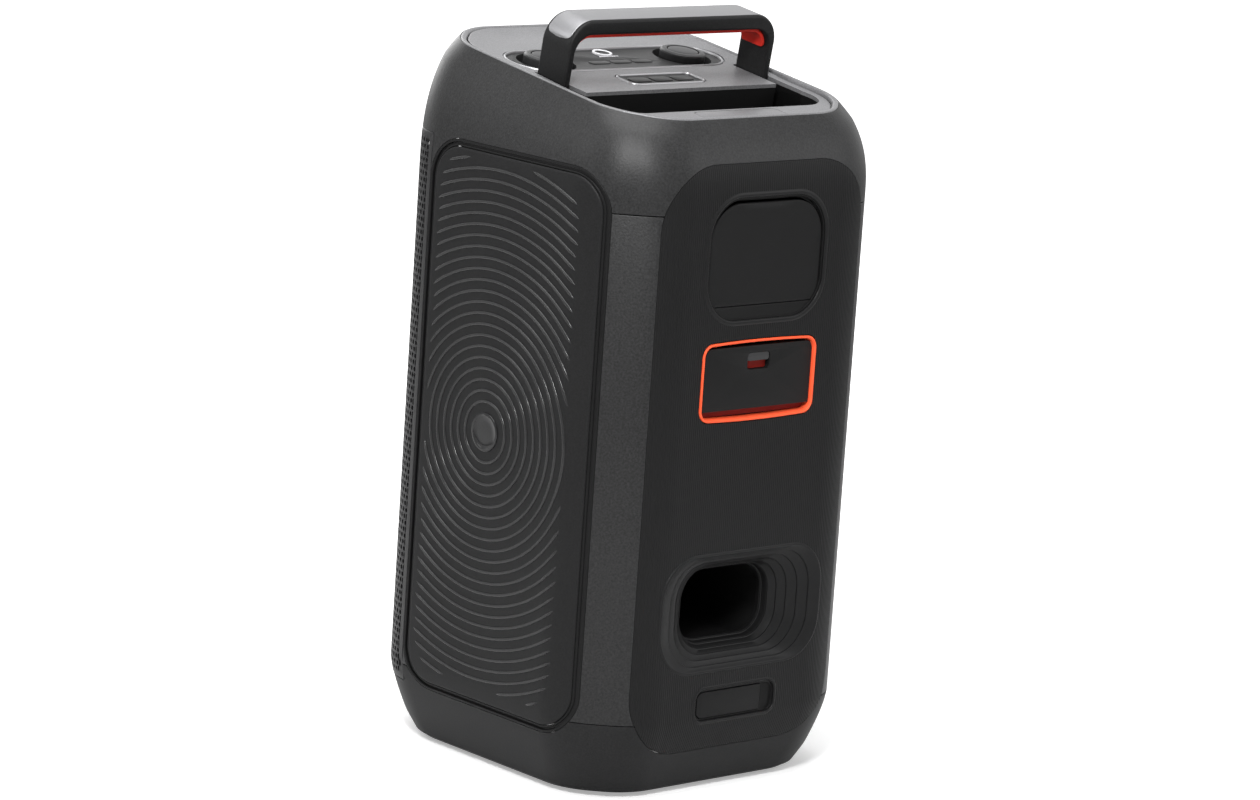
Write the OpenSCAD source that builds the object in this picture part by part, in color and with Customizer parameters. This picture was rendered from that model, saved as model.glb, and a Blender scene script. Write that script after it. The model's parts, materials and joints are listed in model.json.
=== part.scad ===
// Portable party speaker: a tall cabinet with a folding carry handle, two knobs on a
// tilted deck, a slide-out battery, a flap over the jacks and a flared bass port.
// Millimetres. Z is up, the grille faces -Y, the origin is the middle of the footprint.

/* [Cabinet] */
// Width across the side panels
body_w = 287; // [270:1:340]
// Depth from grille to rear panel
body_d = 298; // [285:1:350]
// Height of the rim above the floor at mid depth
rim_h = 548; // [525:1:640]
// Slope of the deck down to the rear, degrees
tilt = 8.5; // [6:0.5:10]
// Wall of the shells
wall = 7; // [6:0.5:8]
// Leg of the chamfer at each upright corner
corner_leg = 44; // [38:1:50]
// Blend radius of that chamfer
corner_r = 60; // [40:1:64]
// Seam between base cover and cabinet
base_h = 64; // [60:1:68]
// Seam between cabinet and top cover
seam_h = 460; // [455:1:465]
// How far the base draws in at the floor
base_inset = 22; // [16:1:26]
// How far the shoulder draws in at the rim
shoulder_inset = 22; // [18:1:26]
// Thickness of the panels that lie in the shells
panel_t = 3; // [2.5:0.5:3.5]
// Gap left round a panel or cover
seam_gap = 0.3; // [0.2:0.05:0.4]

/* [Side and rear panels] */
// Front edge of a side panel, distance ahead of the middle
side_front = 87; // [80:1:90]
// Rear edge of a side panel, distance behind the middle
side_rear = 116; // [108:1:118]
// Top edge of a side panel
side_top = 492; // [486:1:496]
// Bottom edge of a side panel
side_bottom = 50; // [46:1:56]
// Corner radius of a side panel
side_r = 34; // [20:1:40]
// Width of the sunk trim round a side panel
trim_w = 7; // [5:0.5:9]
// Half width of the rear panel
rear_half = 104; // [98:1:108]
// Bottom edge of the rear panel
rear_bottom = 36; // [33:1:42]
// Top edge of the rear panel
rear_top = 498; // [490:1:500]
// Corner radius of the rear panel
rear_r = 50; // [35:1:60]

/* [Deck] */
// Drop from rim to deck
deck_drop = 2.5; // [2:0.5:4]
// Thickness of the deck plate
deck_t = 3; // [2.5:0.5:3.5]
// Width of the rim round the deck
rim_w = 5; // [4:0.5:6]
// Half width of the control panel
panel_half = 105; // [100:1:106]
// Middle of the control panel along the deck
panel_y = -42; // [-44:1:-41]
// Depth of the control panel
panel_d = 54; // [50:1:56]
// Half width of the small button pill
pill_half = 38; // [34:1:42]
// Middle of the small pill along the deck
pill_y = 14; // [10:1:16]
// Depth of the small pill
pill_d = 24; // [20:1:26]
// Width of the raised bezels
bezel_w = 2.5; // [2:0.5:3]
// Distance of each knob from the middle
knob_x = 71; // [68:1:73]
// Radius of the knob rings
knob_r = 18.5; // [17:0.5:20]
// Height of the knobs above the deck
knob_h = 5; // [4:0.5:7]
// Travel of the push caps and buttons
press = 0.8; // [0.5:0.1:1]

/* [Handle] */
// Half width of the handle
handle_half = 107; // [105:1:110]
// Thickness of the legs
leg_t = 6.5; // [6:0.5:8]
// Width of the strap along the deck
leg_w = 34; // [28:1:34]
// Height of the grip top above the deck
grip_h = 51; // [46:1:58]
// Thickness of the grip with its soft underlay
grip_t = 15; // [13:0.5:17]
// Outer radius of the handle corners
grip_r = 22; // [18:1:26]
// Pivot position along the deck
pivot_y = 6; // [4:1:8]
// Depth of the pivot below the deck
pivot_drop = 14; // [14:0.5:15]
// Radius of the pivot pins
pin_r = 4; // [3:0.5:5]
// Radial running clearance on pins and collars
run_fit = 0.05; // [0.03:0.01:0.09]
// Front edge of the stowage well
well_front = 41; // [38:1:44]
// Rear edge of the stowage well
well_rear = 97; // [92:1:98]
// Depth of the stowage well
well_depth = 33; // [30:1:36]
// Corner radius at the rear of the well
well_r = 26; // [20:1:27]
// Side clearance beside the legs
well_gap = 1.5; // [1:0.1:1.5]

/* [Rear fittings] */
// Half width of the jack recess
io_half = 60; // [56:1:62]
// Bottom of the jack recess
io_bottom = 376; // [373:1:378]
// Top of the jack recess
io_top = 473; // [468:1:475]
// Corner radius of the jack recess
io_r = 32; // [24:1:36]
// Height of the flap's hinge line
io_hinge = 388; // [385:1:391]
// Depth of the jack recess
io_depth = 34; // [28:1:40]
// Thickness of the flaps
flap_t = 2.6; // [2.2:0.2:3]
// Half width of the battery opening with its rim
bat_half = 59.5; // [56:0.5:62]
// Bottom of the battery opening
bat_bottom = 299; // [296:1:302]
// Height of the battery opening
bat_h = 61; // [58:1:63]
// Width of the coloured battery rim
bat_rim = 3.5; // [3:0.5:5]
// Length of the battery pack into the cabinet
bat_len = 118; // [105:1:125]
// Half width of the port flare
port_half = 83; // [76:1:88]
// Bottom of the port flare
port_bottom = 101; // [98:1:104]
// Height of the port flare
port_h = 93; // [86:1:96]
// Bands down into the port
port_steps = 6; // [4:1:7]
// Narrowing of the flare at each side
port_in = 39; // [30:1:42]
// Narrowing of the flare above and below
port_rise = 18.5; // [14:0.5:20]
// Depth of the flare
port_depth = 26; // [18:1:30]
// Length of the port tube
port_len = 90; // [60:5:100]
// Half width of the mains cover
ac_half = 42; // [39:1:44]
// Bottom of the mains cover
ac_bottom = 60; // [59:1:62]
// Height of the mains cover
ac_h = 27; // [25:1:29]
// Hinge line of the mains cover
ac_hinge = -27.5; // [-30:0.5:-25]

/* [Drivers] */
// Radius of the woofer flange
woofer_r = 75; // [70:1:76]
// Height of the lower woofer
woofer_low = 160; // [156:1:162]
// Spacing of the two woofers
woofer_gap = 202; // [198:1:206]
// Greatest travel of the cones each way
cone_travel = 4; // [3:0.5:5]
// Radius of the tweeter plates
tweeter_r = 21; // [18:1:22]
// Distance of each tweeter from the middle
tweeter_x = 52; // [48:1:56]

/* [Hidden] */
$fn = 64;
slope = tan(tilt);
foot_h = 3;
arc_steps = 4;
base_rings = 5;
top_rings = 7;
big = 700;
deck_h = rim_h - deck_drop;
rear_y = body_d / 2;
rim_x = body_w / 2 - shoulder_inset - rim_w;
rim_y = (body_d / 2 - shoulder_inset - rim_w) / cos(tilt);
channel_in = handle_half - leg_t - well_gap;
channel_out = handle_half + well_gap;
well_wall = 1.5;
channel_front = pivot_y - leg_w / 2 - 2;
button_x = 22;
strip_y = panel_y + 7;
power_pos = [0, panel_y - 16];
woofer_zs = [woofer_low, woofer_low + woofer_gap];
baffle_y = -body_d / 2 + 8;
baffle_t = 7;
tweeter_z = woofer_low + woofer_gap / 2;
io_mid = (io_bottom + io_top) / 2;
bat_mid = bat_bottom + bat_h / 2;
port_mid = port_bottom + port_h / 2;
ac_mid = ac_bottom + ac_h / 2;
pack_half = bat_half - bat_rim - 0.5;
pack_h = bat_h - 2 * bat_rim - 1;
latch_z = bat_mid + pack_h / 2 - 12;
latch_h = 6.4;
grip_slot = 4;
port_r = 34;
throat_r = 21;
rim_proud = 0.8;
port_lip = 2.2;
port_drop = 1.2;
port_wall = 2.6;
foot_r = 13;
coil_r = 16;
dish_r = knob_r + 5.5;
dish_h = 9;
collar_r = 4.4;
underlay_t = 3.5;
plate_half = handle_half - grip_r - 4;
bracket_t = 2;
// place and radius of each jack
jack_places = [[-34, 8, 3.2], [-10, 8, 3.2], [14, 8, 1.8], [36, 8, 1.8]];
cell_r = 10.6;
plate_z = 247;

// ---- outlines ----
function arc(cx, cy, r, a) = [for (i = [0:arc_steps])
  [cx + r * cos(a + 45 * i / arc_steps), cy + r * sin(a + 45 * i / arc_steps)]];
function quarter(hx, hy, c, r) = let (g = r * tan(22.5))
  concat(arc(hx - r, hy - c - g, r, 0), arc(hx - c - g, hy - r, r, 45));
function flip(q, sx, sy) = [for (i = [len(q) - 1:-1:0]) [sx * q[i][0], sy * q[i][1]]];
// a rectangle whose corners are chamfered and then blended
function outline(hx, hy, c, r) = let (q = quarter(hx, hy, c, r))
  concat(q, flip(q, -1, 1), [for (p = q) [-p[0], -p[1]]], flip(q, 1, -1));
// the cabinet's plan, drawn in by s
function plan(s) = outline(body_w / 2 - s, body_d / 2 - s,
  corner_leg - 0.586 * min(s, 14), max(corner_r - 0.4 * s, 8));
function base_in(t) = base_inset * pow(1 - t, 1.35);
function top_in(t) = shoulder_inset * pow(t, 2.8);
function level(pts, z, k) = [for (p = pts) [p[0], p[1], z - k * p[1]]];
function base_sections(o) = [for (i = [0:base_rings]) let (t = i / base_rings)
  level(plan(base_in(t) + o), foot_h + o + (base_h - foot_h - o) * t, 0)];
function top_sections(o) = [for (i = [0:top_rings]) let (t = i / top_rings)
  level(plan(top_in(t) + o), seam_h + (rim_h - o - seam_h) * t, slope * t)];

// ---- shapes shared by several pieces ----
module loft(rings) {
  n = len(rings[0]);
  m = len(rings);
  polyhedron([for (r = rings) for (p = r) p], concat([[for (i = [0:n - 1]) i]],
    [for (j = [0:m - 2]) for (i = [0:n - 1]) [j * n + i, (j + 1) * n + i, j * n + (i + 1) % n]],
    [for (j = [0:m - 2]) for (i = [0:n - 1])
      [(j + 1) * n + i, (j + 1) * n + (i + 1) % n, j * n + (i + 1) % n]],
    [[for (i = [n - 1:-1:0]) (m - 1) * n + i]]));
}
module base_solid(o, over = 0) {
  loft(concat(base_sections(o), over > 0 ? [level(plan(o), base_h + over, 0)] : []));
}
module top_solid(o, under = 0) {
  loft(concat(under > 0 ? [level(plan(o), seam_h - under, 0)] : [], top_sections(o)));
}
module whole_solid(o) { loft(concat(base_sections(o), top_sections(o))); }
module prism(o, z0, z1) { translate([0, 0, z0]) linear_extrude(z1 - z0) polygon(plan(o)); }
module rounded(w, h, r) {
  x = w / 2 - r;
  y = h / 2 - r;
  square([w - 2 * r, h], center = true);
  square([w, h - 2 * r], center = true);
  for (i = [-1, 1], j = [-1, 1]) translate([i * x, j * y]) circle(r);
}
// an upright outline on the rear face, from depth y0 to y1
module rear_slab(y0, y1, z) {
  translate([0, y1, z]) rotate([90, 0, 0]) linear_extrude(y1 - y0) children();
}
module side_region(s, g) {
  w = side_front + side_rear - 2 * g;
  h = side_top - side_bottom - 2 * g;
  translate([s > 0 ? 100 : -200, (side_rear - side_front) / 2, (side_top + side_bottom) / 2])
    rotate([90, 0, 90]) linear_extrude(100) rounded(w, h, side_r - g);
}
module rear_region(g) {
  rear_slab(100, 200, (rear_top + rear_bottom) / 2)
    rounded(2 * (rear_half - g), rear_top - rear_bottom - 2 * g, rear_r - g);
}
module front_region(g) {
  translate([-200, -200, side_bottom + g])
    cube([400, 200 - side_front - g, side_top - side_bottom - 2 * g]);
}
module all_regions() {
  side_region(1, 0);
  side_region(-1, 0);
  rear_region(0);
}
module on_deck() { translate([0, 0, deck_h]) rotate([-tilt, 0, 0]) children(); }
module deck_slab(z0, z1) { translate([0, 0, z0]) linear_extrude(z1 - z0) children(); }
module stadium(hw, d) { rounded(2 * hw, d, d / 2 - 0.01); }
module along_y(y) { translate([0, y, 0]) rotate([90, 0, 0]) children(); }

// ---- shells ----
module base_cover() {
  color("#2a2a2b") difference() {
    base_solid(0);
    base_solid(wall, 2);
    difference() { all_regions(); base_solid(panel_t + seam_gap); }
    intersection() { all_inner(); base_solid(0, 2); }
    front_region(0);
    foot_places() translate([0, 0, foot_h - 1]) cylinder(r = foot_r + 0.2, h = 2);
  }
}
module foot_places() {
  for (i = [-1, 1], j = [-1, 1]) translate([i * 82, j * 88, 0]) children();
}
module rubber_feet() { color("#151515") foot_places() cylinder(r = foot_r, h = foot_h + 1); }
// room behind the panels for what passes through the rear wall
module all_inner() {
  rear_slab(100, 200, (io_top + ac_bottom) / 2 - 4)
    rounded(2 * port_half + 6, io_top - ac_bottom + 22, 20);
}
module cabinet_shell() {
  color("#2e2e2f") difference() {
    prism(0, base_h, seam_h);
    prism(wall, base_h - 1, seam_h + 1);
    difference() { all_regions(); prism(panel_t + seam_gap, base_h - 1, seam_h + 1); }
    all_inner();
    front_region(0);
  }
}
module top_cover() {
  color("#2e2e2f") difference() {
    top_solid(0);
    top_solid(wall, 2);
    difference() { all_regions(); top_solid(panel_t + seam_gap); }
    all_inner();
    front_region(0);
    on_deck() deck_slab(-deck_t, 60) deck_outline(0);
    on_deck() deck_slab(-60, 1) deck_outline(2.5);
  }
}
module rear_panel() {
  color("#232324") difference() {
    whole_solid(0);
    whole_solid(panel_t);
    translate([-big / 2, -big, -1]) cube([big, big + 100, big]);
    translate([0, 0, -1]) linear_extrude(big) difference() {
      square(big, center = true);
      translate([-rear_half, 0]) square([2 * rear_half, big]);
    }
    difference() {
      translate([-big / 2, 90, -1]) cube([big, 200, big]);
      rear_region(seam_gap);
    }
    rear_slab(100, 200, io_mid) rounded(2 * io_half, io_top - io_bottom, io_r);
    rear_slab(100, 200, bat_mid) rounded(2 * bat_half, bat_h, 10);
    rear_slab(100, 200, port_mid) port_outline(0, 0);
    rear_slab(100, 200, ac_mid) rounded(2 * ac_half, ac_h, 9);
  }
}
module side_panel(s) {
  color("#242425") intersection() {
    difference() { whole_solid(0); whole_solid(panel_t); }
    side_region(s, trim_w + seam_gap);
  }
}
module side_panel_left() { side_panel(1); }
module side_panel_right() { side_panel(-1); }
module side_trim(s) {
  color("#1a1a1b") intersection() {
    difference() { whole_solid(1.4); whole_solid(panel_t); }
    difference() { side_region(s, seam_gap); side_region(s, trim_w); }
  }
}
module side_trim_left() { side_trim(1); }
module side_trim_right() { side_trim(-1); }

// ---- front ----
module front_grille() {
  color("#1c1c1d") intersection() {
    difference() { whole_solid(0); whole_solid(1.4); }
    front_region(seam_gap);
  }
}
module front_baffle() {
  color("#262627") difference() {
    intersection() {
      prism(2, base_h, seam_h);
      translate([-200, -200, 0]) cube([400, 200 - side_front - seam_gap, big]);
    }
    intersection() {
      prism(2 + baffle_t, base_h + baffle_t, seam_h - baffle_t);
      translate([-200, baffle_y + baffle_t, 0]) cube([400, 200, big]);
    }
    translate([-112, -200, base_h + 6]) cube([224, 200 + baffle_y, seam_h - base_h - 12]);
    for (z = woofer_zs) translate([0, 0, z]) along_y(0) cylinder(r = woofer_r - 8, h = 200);
    for (i = [-1, 1]) translate([i * tweeter_x, 0, tweeter_z]) along_y(0)
      cylinder(r = tweeter_r - 4, h = 200);
    for (z = woofer_zs) translate([0, baffle_y + baffle_t + 1, z]) along_y(0)
      screw_places() cylinder(r = 2.1, h = baffle_t + 2);
  }
}
module light_rings() {
  color("#e8e8ea") for (z = woofer_zs) translate([0, baffle_y, z]) rotate([90, 0, 0])
    difference() {
      cylinder(r = woofer_r + 7, h = 3);
      translate([0, 0, -1]) cylinder(r = woofer_r + 1, h = 5);
    }
}
module woofer_baskets() {
  color("#3a3a3c") for (z = woofer_zs) translate([0, baffle_y, z]) rotate([90, 0, 0])
    difference() {
      rotate_extrude() polygon([[woofer_r - 12, 0], [woofer_r - 12, 3], [woofer_r, 3],
        [woofer_r, 0], [woofer_r - 9, 0], [woofer_r - 12, -12], [40, -44], [24, -44],
        [24, -41], [37, -41], [woofer_r - 16, -10]]);
      for (a = [45:90:315]) rotate([0, 0, a]) translate([30, -14, -40]) cube([60, 28, 24]);
      screw_places() translate([0, 0, -1]) cylinder(r = 2.1, h = 6);
    }
}
module screw_places() {
  for (a = [0:90:270]) rotate([0, 0, a]) translate([woofer_r - 4.5, 0, 0]) children();
}
module driver_screws() {
  color("#555555") for (z = woofer_zs) translate([0, baffle_y, z]) rotate([90, 0, 0])
    screw_places() {
      translate([0, 0, 3]) cylinder(r = 3.4, h = 1.6);
      translate([0, 0, -baffle_t + 1]) cylinder(r = 1.9, h = baffle_t + 3);
    }
}
module woofer_magnets() {
  color("#4a4a4c") for (z = woofer_zs) translate([0, baffle_y, z]) rotate([90, 0, 0])
    rotate_extrude() polygon([[0, -80], [42, -80], [42, -76], [45, -76], [45, -52], [40, -52],
      [40, -44.2], [coil_r + 2, -44.2], [coil_r + 2, -52], [25, -52], [25, -74],
      [coil_r - 1.2, -74], [coil_r - 1.2, -44], [0, -44]]);
}
module woofer_surrounds() {
  color("#1b1b1b") for (z = woofer_zs) translate([0, baffle_y, z]) rotate([90, 0, 0])
    rotate_extrude() difference() {
      union() {
        translate([57, 0]) circle(5);
        translate([51.3, -1.2]) square([woofer_r - 13 - 51.3, 1.2]);
      }
      translate([57, 0]) circle(4.2);
      translate([40, -11.2]) square([40, 10]);
    }
}
module woofer_spiders() {
  color("#b58f55") for (z = woofer_zs) translate([0, baffle_y, z]) rotate([90, 0, 0])
    rotate_extrude() translate([coil_r + 1.5, -38]) square([19, 1.2]);
}
module woofer_cone(z) {
  color("#202022") translate([0, baffle_y, z]) rotate([90, 0, 0]) rotate_extrude()
    polygon([[51, 1], [51, -1.4], [49, -1.4], [coil_r + 0.7, -25], [coil_r + 0.7, -58],
      [coil_r, -58], [coil_r, -24], [0, -20], [0, -18.6], [10, -19.6], [20, -22.6],
      [49.6, 1]]);
}
module woofer_cone_upper() { woofer_cone(woofer_zs[1]); }
module woofer_cone_lower() { woofer_cone(woofer_zs[0]); }
module tweeters() {
  color("#8d8d90") for (i = [-1, 1]) translate([i * tweeter_x, baffle_y, tweeter_z])
    rotate([90, 0, 0]) rotate_extrude() polygon([[0, -20], [15, -20], [15, 0],
      [tweeter_r, 0], [tweeter_r, 3], [12, 2.4], [10, 1], [8.6, 3.2], [4.5, 5], [0, 5.6]]);
}

// ---- deck ----
module deck_outline(g) {
  polygon(outline(rim_x - g, rim_y - g, corner_leg - 12, 0.8 * corner_r - g));
}
module well_shape(g) {
  w = channel_out + g;
  translate([0, (well_front + well_rear) / 2]) rounded(2 * w, well_rear - well_front + 2 * g, well_r + g);
  translate([-w, well_front - g]) square([2 * w, 20 + g]);
  for (i = [-1, 1]) translate([i * (channel_in + channel_out) / 2,
    (channel_front + well_front) / 2 + 8])
    rounded(channel_out - channel_in + 2 * g, well_front - channel_front + 16 + 2 * g, 3);
}
module insert_shape(g) {
  translate([0, (well_rear + rim_y) / 2]) rounded(86 - 2 * g, rim_y - well_rear - 6 - 2 * g, 6);
}
module top_deck() {
  color("#6d6d70") on_deck() difference() {
    deck_slab(-deck_t, 0) deck_outline(0.2);
    deck_slab(-10, 1) well_shape(0);
    deck_slab(-10, 1) translate([0, panel_y]) stadium(panel_half + bezel_w, panel_d + 2 * bezel_w);
    deck_slab(-10, 1) translate([0, pill_y])
      rounded(2 * (pill_half + bezel_w), pill_d + 2 * bezel_w, 9);
    deck_slab(-1.4, 1) insert_shape(0);
  }
}
module rim_insert() { color("#5f5f62") on_deck() deck_slab(-1.4, 0) insert_shape(0.3); }
module stowage_well() {
  color("#141415") on_deck() difference() {
    deck_slab(-well_depth - well_wall, -deck_t) well_shape(well_wall);
    deck_slab(-well_depth, 1) well_shape(0);
    pivot_line() cylinder(r = pin_r + run_fit, h = 2 * big, center = true);
  }
}
module pivot_line() { translate([0, pivot_y, -pivot_drop]) rotate([0, 90, 0]) children(); }
module ring_bezel(w, d, r) {
  color("#a8a8ab") deck_slab(-deck_t, 1.2) difference() {
    rounded(w + 2 * bezel_w - 0.4, d + 2 * bezel_w - 0.4, r + bezel_w - 0.2);
    rounded(w, d, r);
  }
}
module control_bezel() {
  on_deck() translate([0, panel_y]) ring_bezel(2 * panel_half, panel_d, panel_d / 2 - 0.01);
}
module pill_bezel() { on_deck() translate([0, pill_y]) ring_bezel(2 * pill_half, pill_d, 7); }
module control_panel() {
  color("#2b2b2d") on_deck() difference() {
    union() {
      deck_slab(-deck_t - 1, -1) translate([0, panel_y]) stadium(panel_half - 0.2, panel_d - 0.4);
      for (i = [-1, 1]) translate([i * knob_x, panel_y, -dish_h - 1])
        cylinder(r = dish_r + 1.5, h = dish_h - 1);
    }
    for (i = [-1, 1]) translate([i * knob_x, panel_y, 0]) {
      translate([0, 0, -dish_h]) cylinder(r = dish_r, h = 20);
      translate([0, 0, -30]) cylinder(r = 5, h = 40);
    }
    translate([power_pos[0], power_pos[1], -10]) cylinder(r = 7.8, h = 20);
    for (i = [-1:1]) deck_slab(-10, 2) translate([i * button_x, strip_y]) rounded(20.4, 8.4, 3.2);
  }
}
module knob_encoders() {
  color("#9c9c9f") on_deck() for (i = [-1, 1]) translate([i * knob_x, panel_y, 0])
    difference() {
      union() {
        translate([-8, -8, -18]) cube([16, 16, 7]);
        translate([0, 0, -12]) cylinder(r = collar_r, h = 6);
      }
      translate([0, 0, -11]) cylinder(r = 3.3, h = 20);
    }
}
module button_board() {
  color("#1f5136") on_deck() {
    deck_slab(-20, -18) translate([0, panel_y]) rounded(180, 46, 5);
    deck_slab(-8.6, -7) translate([0, pill_y]) rounded(74, 22, 3);
    for (i = [-1, 1]) translate([i * 34, pill_y, -7]) cylinder(r = 2, h = 3);
    for (i = [-1, 1]) translate([i * 42, panel_y, -18]) cylinder(r = 2.5, h = 14);
    for (i = [-1:1]) translate([i * button_x - 3, strip_y - 3, -18]) cube([6, 6, 11.8]);
    for (i = [-1:1]) translate([i * button_x - 3, pill_y - 3, -7]) cube([6, 6, 0.8]);
    translate([power_pos[0] - 3, power_pos[1] - 3, -18]) cube([6, 6, 11.8]);
  }
}
module knob(s) {
  color("#3d3d40") on_deck() translate([s * knob_x, panel_y, 0]) difference() {
    rotate_extrude() polygon([[collar_r + run_fit, -dish_h + 1], [knob_r, -dish_h + 1],
      [knob_r, knob_h - 2], [knob_r - 2, knob_h], [knob_r - 6, knob_h], [knob_r - 6, -4],
      [collar_r + run_fit, -4]]);
    for (a = [0:10:350]) rotate([0, 0, a]) translate([knob_r + 0.5, 0, -1])
      cylinder(r = 0.9, h = 6, $fn = 16);
  }
}
module knob_left() { knob(1); }
module knob_right() { knob(-1); }
module knob_cap(s) {
  color("#56565a") on_deck() translate([s * knob_x, panel_y, 0]) rotate_extrude()
    polygon([[0, -9.8], [3, -9.8], [3, -2.6], [knob_r - 6.3, -2.6],
      [knob_r - 6.3, knob_h - 1.6], [knob_r - 7.5, knob_h - 0.6], [0, knob_h - 0.3]]);
}
module knob_cap_left() { knob_cap(1); }
module knob_cap_right() { knob_cap(-1); }
module power_button() {
  color("#3a3a3d") on_deck() translate([power_pos[0], power_pos[1], -5])
    rotate_extrude() polygon([[0, 0], [7.5, 0], [7.5, 4.3], [6.4, 4.8], [5, 4.8], [4.6, 4.4], [0, 4.4]]);
}
module strip_button(i) {
  color("#39393c") on_deck() deck_slab(-5, -0.6) translate([i * button_x, strip_y]) rounded(19.8, 7.8, 3);
}
module strip_buttons_left() { strip_button(1); }
module strip_buttons_middle() { strip_button(0); }
module strip_buttons_right() { strip_button(-1); }
module pill_panel() {
  color("#2b2b2d") on_deck() deck_slab(-deck_t - 1, -0.6) translate([0, pill_y]) difference() {
    rounded(2 * pill_half - 0.4, pill_d - 0.4, 6.8);
    for (i = [-1:1]) translate([i * button_x, 0]) rounded(20.4, 12.4, 4.2);
  }
}
module pill_button(i) {
  color("#39393c") on_deck() deck_slab(-5, 0) translate([i * button_x, pill_y]) rounded(19.8, 11.8, 4);
}
module pill_button_left() { pill_button(1); }
module pill_button_middle() { pill_button(0); }
module pill_button_right() { pill_button(-1); }

// ---- handle ----
module arch(h, half, r, low) {
  intersection() {
    translate([0, h - big / 2]) rounded(2 * half, big, r);
    translate([-big / 2, low]) square([big, 2 * big]);
  }
}
module leg_profile(g) {
  hull() {
    translate([pivot_y, -pivot_drop]) circle(leg_w / 2 - g);
    translate([pivot_y - leg_w / 2 + 1.5 + g, grip_h]) square([leg_w - 3 - 2 * g, 1]);
  }
}
module strap_side(g) {
  translate([-big / 2, 0, 0]) rotate([90, 0, 90]) linear_extrude(big) leg_profile(g);
}
module upright(w) { translate([0, pivot_y + w / 2, 0]) rotate([90, 0, 0]) linear_extrude(w) children(); }
module handle_strap() {
  color("#2c2c2e") on_deck() difference() {
    intersection() {
      upright(leg_w) difference() {
        arch(grip_h, handle_half, grip_r, -pivot_drop - leg_w / 2);
        arch(grip_h - grip_t + underlay_t, handle_half - leg_t, grip_r - leg_t, -big);
      }
      strap_side(0);
    }
    pivot_line() cylinder(r = pin_r + run_fit, h = 2 * big, center = true);
    translate([-plate_half, pivot_y - leg_w / 2 + 3, grip_h - 1.5])
      cube([2 * plate_half, leg_w - 6, 5]);
  }
}
module handle_plate() {
  color("#9d9da0") on_deck() translate([-plate_half + 0.2, pivot_y - leg_w / 2 + 3.2, grip_h - 1.5])
    cube([2 * plate_half - 0.4, leg_w - 6.4, 1.8]);
}
module handle_underlay() {
  color("#c22a22") on_deck() intersection() {
    upright(leg_w - 4) difference() {
      arch(grip_h - grip_t + underlay_t - 0.1, handle_half - leg_t - 0.1, grip_r - leg_t,
        grip_h - grip_t - 9);
      arch(grip_h - grip_t, handle_half - leg_t - underlay_t, grip_r - leg_t - 3, -big);
    }
    strap_side(2);
  }
}
module handle_pins() {
  color("#b9b9bc") on_deck() for (i = [-1, 1]) translate([i * (channel_in + channel_out) / 2,
    pivot_y, -pivot_drop]) rotate([0, 90, 0])
    cylinder(r = pin_r, h = channel_out - channel_in + 2 * (well_wall + bracket_t) + 2, center = true);
}
module handle_brackets() {
  w = channel_out - channel_in + 2 * well_wall + 0.4;
  color("#8f8f92") on_deck() for (i = [-1, 1])
    translate([i * (channel_in + channel_out) / 2, pivot_y, 0]) difference() {
      translate([-w / 2 - bracket_t, -8, -well_depth - 5]) cube([w + 2 * bracket_t, 16, 28]);
      translate([-w / 2, -9, -well_depth - well_wall - 0.2]) cube([w, 18, 40]);
      translate([0, 0, -pivot_drop]) rotate([0, 90, 0])
        cylinder(r = pin_r + run_fit, h = 60, center = true);
    }
}

// ---- rear fittings ----
module jack_tray() {
  color("#1d1d1e") difference() {
    rear_slab(rear_y - io_depth, rear_y - 0.5, io_mid)
      rounded(2 * io_half - 0.6, io_top - io_bottom - 0.6, io_r - 0.3);
    rear_slab(rear_y - io_depth + 3, rear_y - 4.6, io_mid)
      rounded(2 * io_half - 8, io_top - io_bottom - 8, io_r - 4);
    rear_slab(rear_y - 4.8, rear_y, io_mid)
      intersection() {
        rounded(2 * io_half - 4, io_top - io_bottom - 4, io_r - 2);
        translate([-big / 2, io_hinge - io_mid - 0.3]) square([big, big]);
      }
    rear_slab(rear_y - 1.6, rear_y, io_mid)
      rounded(2 * io_half - 4, io_top - io_bottom - 4, io_r - 2);
    for (p = jack_places) translate([p[0], 0, io_mid + p[1]]) along_y(rear_y - io_depth + 10)
      cylinder(r = p[2] + 2.3, h = 20);
  }
}
module jack_sockets() {
  color("#77777a") for (p = jack_places) translate([p[0], rear_y - io_depth, io_mid + p[1]])
    rotate([90, 0, 0]) difference() {
      union() {
        cylinder(r = p[2] + 4, h = 22);
        translate([0, 0, -5]) cylinder(r = p[2] + 2, h = 6);
      }
      translate([0, 0, -6]) cylinder(r = p[2], h = 24);
    }
}
module jack_flap() {
  color("#1f1f20") rear_slab(rear_y - 1.6 - flap_t, rear_y - 1.6, io_mid) intersection() {
    rounded(2 * io_half - 8.4, io_top - io_bottom - 5.4, io_r - 4);
    difference() {
      translate([-big / 2, io_hinge - io_mid]) square([big, big]);
      translate([0, io_top - io_mid - 3]) rounded(46, 7, 3.4);
    }
  }
}
module battery_rim() {
  color("#ff5533") difference() {
    rear_slab(rear_y - 8, rear_y + rim_proud, bat_mid)
      rounded(2 * (bat_half - seam_gap), bat_h - 2 * seam_gap, 9.7);
    rear_slab(rear_y - 9, rear_y + 2, bat_mid) rounded(2 * pack_half + 1, pack_h + 1, 6.5);
  }
}
module battery_bay() {
  color("#222223") difference() {
    rear_slab(rear_y - bat_len - 8, rear_y - 8.3, bat_mid) rounded(2 * bat_half, bat_h, 9);
    rear_slab(rear_y - bat_len - 5, rear_y, bat_mid) rounded(2 * pack_half + 1, pack_h + 1, 6.5);
    translate([-10, rear_y - 22, latch_z + 12.1]) cube([20, 4, 3]);
  }
}
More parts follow.
